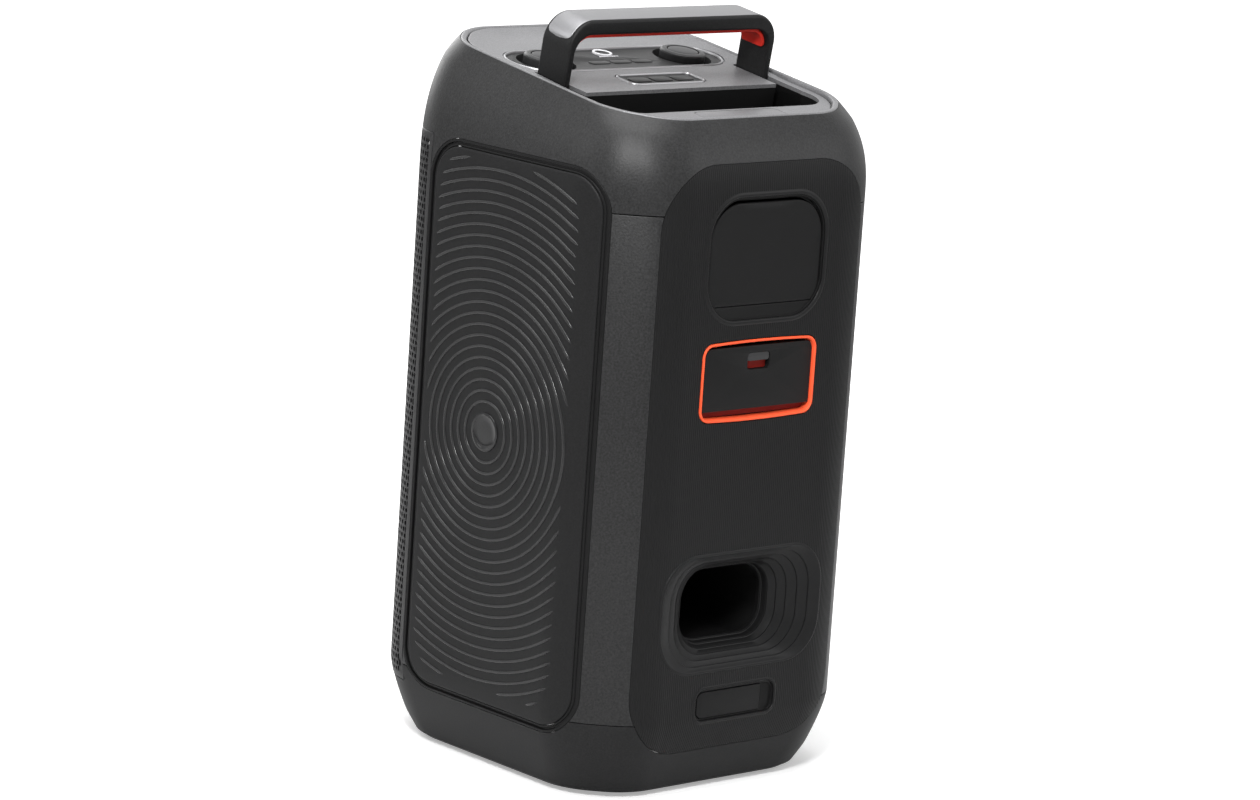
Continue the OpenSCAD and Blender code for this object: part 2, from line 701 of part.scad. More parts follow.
module battery_case() {
  color("#2a2a2b") difference() {
    rear_slab(rear_y - bat_len, rear_y - 1, bat_mid) rounded(2 * pack_half, pack_h, 6);
    rear_slab(rear_y - bat_len + 2.5, rear_y - 24, bat_mid)
      rounded(2 * pack_half - 5, pack_h - 5, 4);
    rear_slab(rear_y - 8, rear_y, latch_z) rounded(23, 2 * latch_h + 0.6, 3);
    rear_slab(rear_y - 12, rear_y, bat_mid - pack_h / 2) square([2 * bat_half, 2 * grip_slot], true);
  }
}
module battery_latch() {
  color("#7a7a7d") rear_slab(rear_y - 5, rear_y - 1.6, latch_z + latch_h / 2)
    rounded(22, latch_h, 2);
}
module battery_cells() {
  color("#3d6ea5") for (i = [-1, 1], j = [-1.5:1.5])
    translate([j * (2 * cell_r + 0.6), rear_y - bat_len + 3, bat_mid + i * (cell_r + 0.4)])
      rotate([-90, 0, 0]) cylinder(r = cell_r, h = 70);
}
// outline of the port at band i, drawn in by g, at height z above the flare's face
function port_band(i, g, z) = corner_ring(port_w(i) - g, port_v(i) - g, port_rad(i) - g, z);
function port_w(i) = port_half - port_in * (1 - pow(1 - i / port_steps, 1.6));
function port_v(i) = port_h / 2 - port_rise * (1 - pow(1 - i / port_steps, 1.25));
function port_rad(i) = port_r - (port_r - throat_r) * i / port_steps;
function port_deep(i) = port_depth * pow(i / port_steps, 1.35);
function corner_ring(hx, hy, r, z) = [for (k = [0:3], i = [0:5]) let (a = 90 * k + 18 * i)
  [(k % 3 == 0 ? 1 : -1) * (hx - r) + r * cos(a), (k < 2 ? 1 : -1) * (hy - r) + r * sin(a), z]];
module port_outline(i, g) {
  rounded(2 * (port_w(i) - g), 2 * (port_v(i) - g), port_rad(i) - g);
}
module port_loft(rings) { translate([0, rear_y, port_mid]) rotate([-90, 0, 0]) loft(rings); }
// the air in the flare: slanted bands with a small drop between them
module port_hollow() {
  port_loft(concat(
    [port_band(port_steps, 0, -2 * port_depth), port_band(port_steps, 0, -port_depth)],
    [for (i = [port_steps - 1:-1:1], d = [1, 0])
      port_band(i, 0.4 * d, -port_deep(i) - port_drop * d)],
    [port_band(0, port_lip, -0.2), port_band(0, port_lip, 4)]));
}
module port_flare() {
  color("#202021") difference() {
    port_loft(concat(
      [for (i = [port_steps:-1:1]) port_band(i, -port_wall, -port_deep(i) - 3)],
      [port_band(0, seam_gap, -4), port_band(0, seam_gap, rim_proud)]));
    port_hollow();
  }
}
module port_tube() {
  y1 = rear_y - port_depth - 3 - seam_gap;
  color("#1a1a1b") rear_slab(y1 - port_len, y1, port_mid) difference() {
    port_outline(port_steps, -port_wall);
    port_outline(port_steps, 0);
  }
}
module mains_inlet() {
  color("#151516") difference() {
    rear_slab(rear_y - 34, rear_y - 2.2, ac_mid) rounded(2 * ac_half - 1.2, ac_h - 1, 8.4);
    rear_slab(rear_y - 14, rear_y, ac_mid) intersection() {
      rounded(2 * ac_half - 5, ac_h - 5, 6.4);
      translate([ac_hinge - 0.3, -50]) square([100, 100]);
    }
    rear_slab(rear_y - 30, rear_y, ac_mid) translate([10, 0]) rounded(17, 10, 4.9);
  }
  color("#c9c9cc") for (i = [-1, 1]) translate([10 + i * 4, rear_y - 14, ac_mid])
    rotate([90, 0, 0]) cylinder(r = 1.1, h = 18);
}
module mains_flap() {
  color("#1f1f20") rear_slab(rear_y - 1.6 - flap_t + 1, rear_y - 1.2, ac_mid) intersection() {
    rounded(2 * ac_half - 6.4, ac_h - 6.4, 5.6);
    translate([ac_hinge, -50]) square([100, 100]);
  }
}

// ---- electronics ----
module chassis_plate() {
  color("#a9a9ad") {
    translate([-88, rear_y - 14, plate_z - 40]) cube([176, 2, 80]);
    for (i = [-1, 1], j = [-1, 1]) translate([i * 70, rear_y - panel_t - seam_gap, plate_z + j * 37])
      rotate([90, 0, 0]) cylinder(r = 3, h = 9);
  }
}
module power_board() {
  color("#1f5136") translate([-84, rear_y - 18.6, plate_z - 34]) cube([78, 1.6, 68]);
  for (i = [-1, 1], j = [-1, 1]) color("#b9b9bc")
    translate([-45 + i * 34, rear_y - 14, plate_z + j * 29]) rotate([90, 0, 0]) cylinder(r = 2.5, h = 3);
  color("#caa33a") translate([-60, rear_y - 46, plate_z - 24]) cube([32, 27.4, 28]);
  color("#333333") for (i = [0:2]) translate([-72 + i * 20, rear_y - 18.6, plate_z + 20])
    rotate([90, 0, 0]) cylinder(r = 8, h = 25);
}
module amplifier_board() {
  color("#1f5136") translate([6, rear_y - 18.6, plate_z - 34]) cube([78, 1.6, 68]);
  for (i = [-1, 1], j = [-1, 1]) color("#b9b9bc")
    translate([45 + i * 34, rear_y - 14, plate_z + j * 29]) rotate([90, 0, 0]) cylinder(r = 2.5, h = 3);
  color("#8f8f92") for (i = [0:7]) translate([22 + i * 6, rear_y - 40, plate_z - 22])
    cube([2, 21.4, 44]);
}

base_cover();
cabinet_shell();
top_cover();
rubber_feet();
rear_panel();
side_panel_left();
side_panel_right();
side_trim_left();
side_trim_right();
front_grille();
front_baffle();
light_rings();
woofer_baskets();
woofer_magnets();
woofer_surrounds();
woofer_spiders();
woofer_cone_upper();
woofer_cone_lower();
tweeters();
driver_screws();
top_deck();
stowage_well();
rim_insert();
control_panel();
control_bezel();
pill_bezel();
pill_panel();
knob_encoders();
button_board();
knob_left();
knob_right();
knob_cap_left();
knob_cap_right();
power_button();
strip_buttons_left();
strip_buttons_middle();
strip_buttons_right();
pill_button_left();
pill_button_middle();
pill_button_right();
handle_strap();
handle_plate();
handle_underlay();
handle_pins();
handle_brackets();
jack_tray();
jack_sockets();
jack_flap();
battery_bay();
battery_rim();
battery_case();
battery_cells();
battery_latch();
port_flare();
port_tube();
mains_inlet();
mains_flap();
chassis_plate();
power_board();
amplifier_board();
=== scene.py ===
import json
import math
import bpy
import bmesh
import numpy as np
from mathutils import Matrix, Vector


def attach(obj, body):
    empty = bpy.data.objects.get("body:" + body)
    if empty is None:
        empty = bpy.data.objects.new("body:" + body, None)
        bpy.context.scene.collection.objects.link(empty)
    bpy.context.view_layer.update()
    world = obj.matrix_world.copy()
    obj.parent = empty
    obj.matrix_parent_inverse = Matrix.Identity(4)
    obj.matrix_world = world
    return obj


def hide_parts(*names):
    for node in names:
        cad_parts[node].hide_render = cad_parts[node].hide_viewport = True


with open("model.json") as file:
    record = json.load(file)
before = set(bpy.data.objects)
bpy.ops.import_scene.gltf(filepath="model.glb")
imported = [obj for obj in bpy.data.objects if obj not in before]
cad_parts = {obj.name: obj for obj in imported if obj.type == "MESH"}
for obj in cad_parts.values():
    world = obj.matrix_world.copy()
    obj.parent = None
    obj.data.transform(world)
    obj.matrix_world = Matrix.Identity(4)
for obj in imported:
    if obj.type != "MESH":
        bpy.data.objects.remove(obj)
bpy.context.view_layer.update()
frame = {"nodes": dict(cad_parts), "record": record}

bodyOf = {node: body for body, nodes in frame["record"]["behaviour"]["bodies"].items() for node in nodes}
print("stage: frame loaded,", len(bodyOf), "nodes")

# sizes, in millimetres
cabinet = dict(halfX=143.5, halfY=149.0, cornerLeg=44.0, cornerR=60.0, foot=3.0, baseTop=64.0, seam=460.0,
               rim=548.0, tilt=8.5, baseInset=22.0, shoulderInset=22.0, wall=3.0, edge=0.8)
deck = dict(height=545.5, panelHalf=105.0, panelY=-42.0, panelD=54.0, bezel=2.5, pillHalf=38.0, pillY=14.0,
            pillD=24.0, knobX=71.0, knobR=18.5, powerY=-58.0, barY=-49.7, barHalf=10.0, barR=0.55)
sidePanel = dict(front=-87.0, rear=116.0, top=492.0, bottom=50.0, corner=34.0, trim=7.0)
rearPanel = dict(half=104.0, bottom=36.0, top=498.0, corner=50.0, ribPitch=2.0, ribHeight=0.22)
slope = math.tan(math.radians(cabinet["tilt"]))
cosT, sinT = math.cos(math.radians(cabinet["tilt"])), math.sin(math.radians(cabinet["tilt"]))


# mesh helpers
def makePiece(name, points, faceSets, angle=40):
    # one mesh from an array of points in millimetres and arrays of faces, smooth up to an edge angle
    mesh = bpy.data.meshes.new(name)
    points = np.asarray(points, float).reshape(-1, 3) * 0.001
    faceSets = [np.asarray(f, int) for f in faceSets if len(f)]
    mesh.vertices.add(len(points))
    mesh.vertices.foreach_set("co", points.astype(np.float32).ravel())
    loops = np.concatenate([f.ravel() for f in faceSets])
    sizes = np.concatenate([np.full(len(f), f.shape[1]) for f in faceSets])
    mesh.loops.add(len(loops))
    mesh.loops.foreach_set("vertex_index", loops.astype(np.int32))
    mesh.polygons.add(len(sizes))
    mesh.polygons.foreach_set("loop_start", (np.cumsum(sizes) - sizes).astype(np.int32))
    mesh.update(calc_edges=True)
    mesh.validate()
    piece = bpy.data.objects.new(name, mesh)
    bpy.context.scene.collection.objects.link(piece)
    shadeSmooth(piece, angle)
    return piece


def shadeSmooth(piece, angle=40):
    piece.data.polygons.foreach_set("use_smooth", np.ones(len(piece.data.polygons), bool))
    piece.data.set_sharp_from_angle(angle=math.radians(angle))


def gridFaces(across, along, closeAcross=False, closeAlong=False, start=0):
    # quads of a grid whose points run across first, then along
    i = np.arange(across if closeAcross else across - 1)
    j = np.arange(along if closeAlong else along - 1)
    i, j = np.meshgrid(i, j)
    i2, j2 = (i + 1) % across, (j + 1) % along
    quads = np.stack([j * across + i, j * across + i2, j2 * across + i2, j2 * across + i], -1)
    return quads.reshape(-1, 4) + start


def fanFaces(count, row, centre, flip=False):
    # triangles from one ring of a grid to a centre point
    i = np.arange(count)
    a, b = row * count + i, row * count + (i + 1) % count
    return np.stack([b, a, np.full(count, centre)] if flip else [a, b, np.full(count, centre)], -1)


def evaluated(piece):
    # the mesh with its modifiers applied, kept on the same object
    bpy.context.view_layer.update()
    graph = bpy.context.evaluated_depsgraph_get()
    mesh = bpy.data.meshes.new_from_object(piece.evaluated_get(graph))
    piece.modifiers.clear()
    piece.data = mesh
    return piece


def carve(piece, cutters, angle=40):
    # takes each closed cutter away from a closed piece
    for cutter in cutters:
        change = piece.modifiers.new("carve", "BOOLEAN")
        change.operation = "DIFFERENCE"
        change.solver = "MANIFOLD"
        change.object = cutter
    evaluated(piece)
    shadeSmooth(piece, angle)
    return piece


def drop(pieces):
    # takes away pieces that were only tools
    for piece in pieces:
        bpy.data.objects.remove(piece)


def setInto(piece, finish, body="cabinet", nodes=()):
    # gives a piece its finish and its body, and hides the CAD nodes that it stands for
    piece.data.materials.clear()
    piece.data.materials.append(finish)
    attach(piece, body)
    if nodes:
        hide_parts(*nodes)
    return piece


# the cabinet's surface
def planRing(inset, fine=12):
    # the plan drawn in by inset: straights joined by two 45 degree arcs and a short chamfer at each corner
    halfX, halfY = cabinet["halfX"] - inset, cabinet["halfY"] - inset
    leg = cabinet["cornerLeg"] - 0.586 * min(inset, 14)
    r = max(cabinet["cornerR"] - 0.4 * inset, 8)
    g = r * math.tan(math.radians(22.5))
    first = np.radians(np.linspace(0, 45, fine))
    second = np.radians(np.linspace(45, 90, fine))
    side = np.stack([np.full(5, halfX), np.linspace(0, halfY - leg - g, 6)[:-1]], -1)
    arcA = np.stack([halfX - r + r * np.cos(first), halfY - leg - g + r * np.sin(first)], -1)
    arcB = np.stack([halfX - leg - g + r * np.cos(second), halfY - r + r * np.sin(second)], -1)
    back = np.stack([np.linspace(halfX - leg - g, 0, 6)[1:], np.full(5, halfY)], -1)
    quarter = np.concatenate([side, arcA, arcB, back])
    left = quarter[::-1][1:] * [-1, 1]
    half = np.concatenate([quarter, left])
    return np.concatenate([half[:-1], -half[:-1]])


def baseInset(t):
    # draw-in of the base at a share t of its height: baseInset times (1 - t) to the power 1.35
    return cabinet["baseInset"] * np.power(np.clip(1 - t, 0, 1), 1.35)


def topInset(t):
    # draw-in of the shoulder at a share t of its height: shoulderInset times t to the power 2.8
    return cabinet["shoulderInset"] * np.power(np.clip(t, 0, 1), 2.8)


def insetAt(y, z):
    # how far the skin is drawn in at a depth and height: the base below, the shoulder above
    base = baseInset((z - cabinet["foot"]) / (cabinet["baseTop"] - cabinet["foot"]))
    t = (z - cabinet["seam"]) / (cabinet["rim"] - cabinet["seam"] - slope * y)
    return np.where(z < cabinet["baseTop"], base, topInset(t))


def cornerDepth(near, far, offset, inset):
    # distance of the skin from the middle plane: a straight run, then a 45 degree arc and the chamfer
    leg = cabinet["cornerLeg"] - 0.586 * np.minimum(inset, 14)
    r = cabinet["cornerR"] - 0.4 * inset
    start = far - inset - leg - r * math.tan(math.radians(22.5))
    over = np.clip(np.abs(offset) - start, 0, r * math.sin(math.radians(45)))
    rest = np.clip(np.abs(offset) - start - over, 0, None)
    return near - inset - r + np.sqrt(r * r - over * over) - rest


def sideX(y, z):
    # distance of the skin from the middle, sideways, at a depth and height
    return cornerDepth(cabinet["halfX"], cabinet["halfY"], y, insetAt(y, z))


def rearY(x, z):
    # the same rearwards, found in four rounds because the draw-in depends on the depth
    y = np.full(np.shape(x), cabinet["halfY"])
    for _ in range(4):
        y = cornerDepth(cabinet["halfY"], cabinet["halfX"], x, insetAt(y, z))
    return y


def onDeck(x, y, z):
    # from the tilted deck's own directions to the frame's
    return np.stack([x, y * cosT + z * sinT, deck["height"] - y * sinT + z * cosT], -1)


def shellRing(z, k, inset):
    # the plan drawn in by inset, at a height that falls by k for each millimetre towards the rear
    ring = planRing(inset)
    return np.column_stack([ring, z - k * ring[:, 1]])


def shellPiece(name, rings):
    # rings stacked into a loft that turns back on itself inside the wall
    points = np.concatenate(rings)
    count = len(rings[0])
    return makePiece(name, points, [gridFaces(count, len(rings), True, True)], 30)


# rounded outlines
def roundedPath(halfW, halfH, r, fine=10, bow=0.0, straight=None):
    # a rectangle with arcs at its corners; bow swells its long edges outwards by a parabola, and straight
    # fixes how many points stand between two corners, for outlines of many sizes in one loft
    r = min(r, halfW - 0.01, halfH - 0.01)
    turn = np.radians(np.linspace(0, 90, fine))
    corner = np.stack([np.cos(turn), np.sin(turn)], -1) * r
    runs = []
    for k, (sx, sy) in enumerate([(1, 1), (-1, 1), (-1, -1), (1, -1)]):
        c, s = math.cos(k * math.pi / 2), math.sin(k * math.pi / 2)
        runs.append(corner @ np.array([[c, s], [-s, c]]) + [sx * (halfW - r), sy * (halfH - r)])
    loop = np.concatenate(runs)
    gap = np.roll(loop, -1, 0) - loop
    length = np.hypot(*gap.T)
    extra = np.clip((length / 8).astype(int), 0, 24)
    if straight is not None:
        extra = np.where(np.arange(len(loop)) % fine == fine - 1, straight, 0)
    parts = [loop[i] + gap[i] * np.linspace(0, 1, extra[i] + 2)[:-1, None] for i in range(len(loop))]
    loop = np.concatenate(parts)
    if bow:
        loop[:, 1] += np.sign(loop[:, 1]) * bow * np.clip(1 - (loop[:, 0] / halfW) ** 2, 0, 1)
    return loop


def shrunk(halfW, halfH, r, offset, outline):
    # the outline drawn in by offset along its normals, and past its corner radius by scaling
    normal = np.roll(outline, -1, 0) - np.roll(outline, 1, 0)
    normal = np.stack([normal[:, 1], -normal[:, 0]], -1) / np.hypot(*normal.T)[:, None]
    if offset <= r - 0.3:
        return outline - normal * offset
    inner = outline - normal * (r - 0.3)
    more = offset - (r - 0.3)
    limit = np.array([halfW - (r - 0.3), halfH - (r - 0.3)])
    return inner * (1 - more / limit)


def padPiece(name, halfW, halfH, r, profile, place, fill=0, bow=0.0, fine=10):
    # a profile of (inward offset, height) carried round a rounded outline; fill rings close its middle
    outline = roundedPath(halfW, halfH, r, fine, bow)
    rings, heights = [], []
    for offset, height in profile:
        rings.append(shrunk(halfW, halfH, r, offset, outline))
        heights.append(np.full(len(outline), height))
    count, last = len(outline), len(profile) - 1
    if fill:
        for share in np.linspace(1, 0, fill + 1)[1:-1]:
            rings.append(rings[last] * share)
            heights.append(np.full(count, profile[-1][1]))
    flat = np.concatenate(rings)
    points = place(flat[:, 0], flat[:, 1], np.concatenate(heights))
    faces = [gridFaces(count, len(rings), True)]
    if fill:
        centre = place(np.zeros(1), np.zeros(1), np.array([profile[-1][1]]))
        points = np.concatenate([points, centre])
        faces.append(fanFaces(count, len(rings) - 1, len(points) - 1))
    return makePiece(name, points, faces, 35)


def turnRight(piece):
    # makes every face of a closed or open piece point away from its inside
    work = bmesh.new()
    work.from_mesh(piece.data)
    bmesh.ops.remove_doubles(work, verts=work.verts, dist=1e-7)
    bmesh.ops.recalc_face_normals(work, faces=work.faces)
    work.to_mesh(piece.data)
    work.free()
    return piece


def onRear(zMid):
    # places an outline on the rear panel: x runs the other way, so that it reads right way round from behind
    def place(a, b, h):
        z = zMid + b
        return np.stack([-a, rearY(a, z) + h, z], -1)
    return place


def onDeckAt(x0, y0, lift=0.0):
    # places an outline on the tilted deck, about a point of it
    def place(a, b, h):
        return onDeck(a + x0, b + y0, h + lift)
    return place


def onSide(sign):
    # places an outline on a side panel, seen from outside
    midY = (sidePanel["front"] + sidePanel["rear"]) / 2
    midZ = (sidePanel["top"] + sidePanel["bottom"]) / 2

    def place(a, b, h):
        y, z = midY + sign * a, midZ + b
        return np.stack([sign * (sideX(y, z) + h), y, z], -1)
    return place


def prismAlong(name, path, low, high, axis):
    # an outline carried straight along an axis, closed at both ends, used to carve
    count = len(path)
    flat = np.concatenate([path, path])
    depth = np.repeat([low, high], count)
    if axis == "y":
        points = np.stack([flat[:, 0], depth, flat[:, 1]], -1)
    elif axis == "x":
        points = np.stack([depth, flat[:, 0], flat[:, 1]], -1)
    else:
        points = onDeck(flat[:, 0], flat[:, 1], depth)
    ends = [np.arange(count)[None, ::-1], np.arange(count, 2 * count)[None, :]]
    piece = makePiece(name, points, [gridFaces(count, 2, True), *ends])
    return turnRight(piece)


def lathe(name, profile, place, count=96):
    # a profile of (radius, height) turned about an axis
    profile = np.asarray(profile, float)
    turn = np.linspace(0, 2 * math.pi, count, endpoint=False)
    r = np.repeat(profile[:, 0], count)
    h = np.repeat(profile[:, 1], count)
    a = np.tile(turn, len(profile))
    points = place(r * np.cos(a), r * np.sin(a), h)
    return makePiece(name, points, [gridFaces(count, len(profile), True)], 35)


# materials
class Link:
    # one shader socket with arithmetic on it
    def __init__(self, tree, socket):
        self.tree, self.socket = tree, socket

    def op(self, operation, other=0.0, swap=False):
        node = self.tree.nodes.new("ShaderNodeMath")
        node.operation = operation
        pair = (other, self) if swap else (self, other)
        for slotIn, value in zip(node.inputs, pair):
            if isinstance(value, Link):
                self.tree.links.new(value.socket, slotIn)
            else:
                slotIn.default_value = value
        return Link(self.tree, node.outputs[0])

    def __add__(self, other): return self.op("ADD", other)
    def __radd__(self, other): return self.op("ADD", other, True)
    def __sub__(self, other): return self.op("SUBTRACT", other)
    def __rsub__(self, other): return self.op("SUBTRACT", other, True)
    def __mul__(self, other): return self.op("MULTIPLY", other)
    def __rmul__(self, other): return self.op("MULTIPLY", other, True)


class Finish:
    # one material: nodes are added by type, with settings first and then their sockets
    def __init__(self, name, **shader):
        self.material = bpy.data.materials.new(name)
        self.material.use_nodes = True
        self.tree = self.material.node_tree
        self.shader = self.tree.nodes["Principled BSDF"]
        for socket, value in shader.items():
            self.shader.inputs[socket.replace("_", " ")].default_value = value
        self.place = self.add("ShaderNodeTexCoord", {}, {}, "Object")

    def add(self, kind, settings, sockets, output=0):
        node = self.tree.nodes.new(kind)
        for key, value in settings.items():
            setattr(node, key, value)
        for key, value in sockets.items():
            if isinstance(value, Link):
                self.tree.links.new(value.socket, node.inputs[key])
            else:
                node.inputs[key].default_value = value
        return Link(self.tree, node.outputs[output])

    def noise(self, scale, detail=2.0, stretch=(1, 1, 1), rough=0.5):
        where = self.add("ShaderNodeMapping", {}, {"Vector": self.place, "Scale": stretch})
        return self.add("ShaderNodeTexNoise", {}, {"Vector": where, "Scale": scale, "Detail": detail,
                                                  "Roughness": rough}, "Fac")

    def blendColour(self, share, first, second):
        return self.add("ShaderNodeMix", {"data_type": "RGBA"},
                        {"Factor": share, 6: (*first, 1), 7: (*second, 1)}, 2)

    def feed(self, socket, link):
        self.tree.links.new(link.socket, self.shader.inputs[socket])

    def bump(self, height, depth, strength=1.0):
        normal = self.add("ShaderNodeBump", {}, {"Height": height, "Distance": depth, "Strength": strength})
        self.feed("Normal", normal)


def grainedPlastic(name, colour, light, rough, grain=900, depth=0.00012, spread=0.08, **shader):
    # moulded plastic: a fine spark-eroded grain, slow cloudiness in colour and sheen
    finish = Finish(name, **{"Specular_IOR_Level": 0.14, **shader})
    fine = finish.noise(grain, 3.0, rough=0.6)
    coarse = finish.noise(grain * 0.32, 2.0)
    cloud = finish.noise(9, 3.0)
    speck = (fine - 0.5) * 2.2 + (cloud - 0.5) * 0.7 + 0.45
    finish.feed("Base Color", finish.blendColour(speck, colour, light))
    finish.feed("Roughness", rough - spread / 2 + fine * spread + (cloud - 0.5) * 0.05)
    finish.bump(fine * 0.65 + coarse * 0.35, depth)
    return finish.material


def smoothPlastic(name, colour, light, rough, **shader):
    # satin moulding: faint waviness and dust in the sheen
    finish = Finish(name, **{"Specular_IOR_Level": 0.14, **shader})
    cloud = finish.noise(14, 4.0)
    dust = finish.noise(420, 2.0)
    finish.feed("Base Color", finish.blendColour(cloud * 0.7 + dust * 0.3, colour, light))
    finish.feed("Roughness", rough + (cloud - 0.5) * 0.10 + (dust - 0.5) * 0.08)
    finish.bump(dust * 0.5 + cloud * 0.5, 0.00004)
    return finish.material


def brushedMetal(name, colour, light, rough, along=(3, 90, 90), **shader):
    # fine parallel scratches along one direction
    finish = Finish(name, Metallic=1.0, **shader)
    lines = finish.noise(38, 6.0, along, 0.7)
    blotch = finish.noise(20, 2.0)
    finish.feed("Base Color", finish.blendColour(lines, colour, light))
    finish.feed("Roughness", rough + (lines - 0.5) * 0.22 + (blotch - 0.5) * 0.06)
    finish.bump(lines, 0.00005)
    return finish.material


def grey(value):
    # a neutral grey with a trace of blue
    return (value, value, 1.03 * value)


finishes = dict(
    shell=grainedPlastic("shellGrain", grey(0.006), grey(0.022), 0.43, 620, 0.00022, Specular_IOR_Level=0.24),
    base=grainedPlastic("baseGrain", grey(0.008), grey(0.016), 0.46, 700, 0.00010),
    rear=smoothPlastic("rearSatin", grey(0.005), grey(0.008), 0.44),
    side=grainedPlastic("sideGrain", grey(0.0065), grey(0.012), 0.47, 760, 0.00012),
    ridge=smoothPlastic("ridgeSatin", grey(0.01), grey(0.016), 0.24, Specular_IOR_Level=0.34),
    trim=smoothPlastic("trimDark", grey(0.003), grey(0.006), 0.42),
    black=smoothPlastic("wellBlack", grey(0.0025), grey(0.0045), 0.55),
    flap=smoothPlastic("flapRubber", grey(0.0045), grey(0.007), 0.50),
    lip=smoothPlastic("lipSatin", grey(0.0065), grey(0.01), 0.36),
    deck=grainedPlastic("deckGrain", grey(0.14), grey(0.24), 0.42, 900, 0.00008, Metallic=0.35),
    rim=grainedPlastic("rimGrain", grey(0.13), grey(0.22), 0.38, 900, 0.00006, Metallic=0.3),
    bezel=smoothPlastic("bezelSilver", grey(0.26), grey(0.34), 0.34, Metallic=0.6),
    control=smoothPlastic("controlDark", grey(0.012), grey(0.018), 0.40),
    key=smoothPlastic("keyDark", grey(0.012), grey(0.018), 0.36),
    knob=smoothPlastic("knobSatin", grey(0.014), grey(0.021), 0.38),
    # the cap grey also lightens each knob's top flange above its darker wall, as a painted highlight
    cap=smoothPlastic("capSatin", grey(0.03), grey(0.045), 0.34),
    strap=grainedPlastic("strapGrain", grey(0.006), grey(0.013), 0.46, 700, 0.00010),
    plate=brushedMetal("plateBrushed", grey(0.2), grey(0.38), 0.40),
    red=smoothPlastic("redSoft", (0.52, 0.022, 0.014), (0.66, 0.035, 0.022), 0.5),
    orange=smoothPlastic("orangeSatin", (0.82, 0.085, 0.03), (0.95, 0.12, 0.045), 0.42),
    # a darker copy of the red: painted shade for the red walls deep in the battery door's gaps
    redInShade=smoothPlastic("redInPaintedShade", (0.16, 0.008, 0.005), (0.22, 0.012, 0.008), 0.6),
    rubber=smoothPlastic("rubberMatt", (0.010, 0.010, 0.010), (0.016, 0.016, 0.016), 0.75),
    steel=brushedMetal("zincSteel", (0.42, 0.42, 0.43), (0.58, 0.58, 0.59), 0.34),
    dark=smoothPlastic("darkSteel", (0.02, 0.02, 0.021), (0.035, 0.035, 0.036), 0.45, Metallic=0.6),
    grille=grainedPlastic("grilleCoat", (0.010, 0.010, 0.0105), (0.018, 0.018, 0.0185), 0.40, 500, 0.00005),
    milk=smoothPlastic("milkyRing", (0.72, 0.72, 0.74), (0.82, 0.82, 0.84), 0.35),
    cone=grainedPlastic("conePulp", (0.010, 0.010, 0.0105), (0.022, 0.022, 0.023), 0.62, 260, 0.0003),
    aluminium=brushedMetal("millAluminium", (0.5, 0.5, 0.51), (0.66, 0.66, 0.67), 0.4),
    board=smoothPlastic("boardGreen", (0.012, 0.09, 0.04), (0.02, 0.13, 0.06), 0.4),
    cell=smoothPlastic("cellBlue", (0.02, 0.10, 0.28), (0.03, 0.14, 0.36), 0.3),
    amber=smoothPlastic("amberCloth", (0.30, 0.17, 0.05), (0.42, 0.25, 0.09), 0.8),
    glossy=smoothPlastic("badgeGloss", (0.008, 0.008, 0.0085), (0.012, 0.012, 0.0125), 0.12, Coat_Weight=0.4),
    mark=smoothPlastic("markPale", grey(0.55), grey(0.65), 0.5),
)
print("stage: materials made")

# shells

def baseRings():
    # the base from under its edge up the outer skin to its seam, then back down inside the wall
    c, rings = cabinet, []
    rings.append(shellRing(c["foot"] + 3, 0, c["baseInset"] + 12))
    for e, dz in ((12, 0.0), (5, 0.0), (2.2, 0.5), (0.8, 1.6)):
        rings.append(shellRing(c["foot"] + dz, 0, c["baseInset"] + e))
    for t in np.linspace(0.05, 0.985, 14):
        rings.append(shellRing(c["foot"] + (c["baseTop"] - c["foot"]) * t, 0, float(baseInset(t))))
    for e, dz in ((0.25, -0.3), (c["edge"], 0.0), (c["wall"], 0.0)):
        rings.append(shellRing(c["baseTop"] + dz, 0, e))
    for t in (0.6, 0.3, 0.1):
        rings.append(shellRing(c["foot"] + (c["baseTop"] - c["foot"]) * t, 0, float(baseInset(t)) + c["wall"]))
    return rings


def middleRings():
    # a straight sleeve whose two ends are softened
    c = cabinet
    outer = [(0.0, c["edge"]), (0.3, 0.25), (0.9, 0.0)]
    rings = [shellRing(c["baseTop"] + 0.25 + dz, 0, e) for dz, e in outer]
    rings += [shellRing(c["seam"] - 0.25 - dz, 0, e) for dz, e in outer[::-1]]
    rings += [shellRing(c["seam"] - 0.25, 0, c["wall"]), shellRing(c["baseTop"] + 0.25, 0, c["wall"])]
    return rings


def topRings():
    # from the upper seam to the crest, each ring leaning more to the deck's slope, then back down inside
    c, rings = cabinet, []
    rise = c["rim"] - c["seam"]
    for dz, e in ((0.25, c["edge"]), (0.55, 0.25), (1.2, 0.0)):
        rings.append(shellRing(c["seam"] + dz, 0, e))
    for t in np.linspace(0.03, 0.985, 22):
        rings.append(shellRing(c["seam"] + rise * t, slope * t, float(topInset(t))))
    full = c["shoulderInset"]
    crest = ((0.15, 0.2), (0.4, 0.3), (0.6, 0.1), (0.65, -1.4), (4.6, -4.5))
    for e, h in crest:
        rings.append(shellRing(c["rim"] + h, slope, full + e))
    for t in (0.94, 0.75, 0.5, 0.2):
        rings.append(shellRing(c["seam"] + rise * t, slope * t, float(topInset(t)) + c["wall"] + 2.2 * t ** 6))
    rings.append(shellRing(c["seam"] + 0.25, 0, c["wall"]))
    return rings


def sideOutline(grow=0.0):
    # the rounded recess of a side panel, in depth and height
    s = sidePanel
    path = roundedPath((s["rear"] - s["front"]) / 2 + grow, (s["top"] - s["bottom"]) / 2 + grow, s["corner"] + grow)
    return path + [(s["rear"] + s["front"]) / 2, (s["top"] + s["bottom"]) / 2]


def rearOutline(grow=0.0):
    # the rounded recess of the rear panel, in width and height
    r = rearPanel
    path = roundedPath(r["half"] + grow, (r["top"] - r["bottom"]) / 2 + grow, r["corner"] + grow, 16)
    return path + [0, (r["top"] + r["bottom"]) / 2]


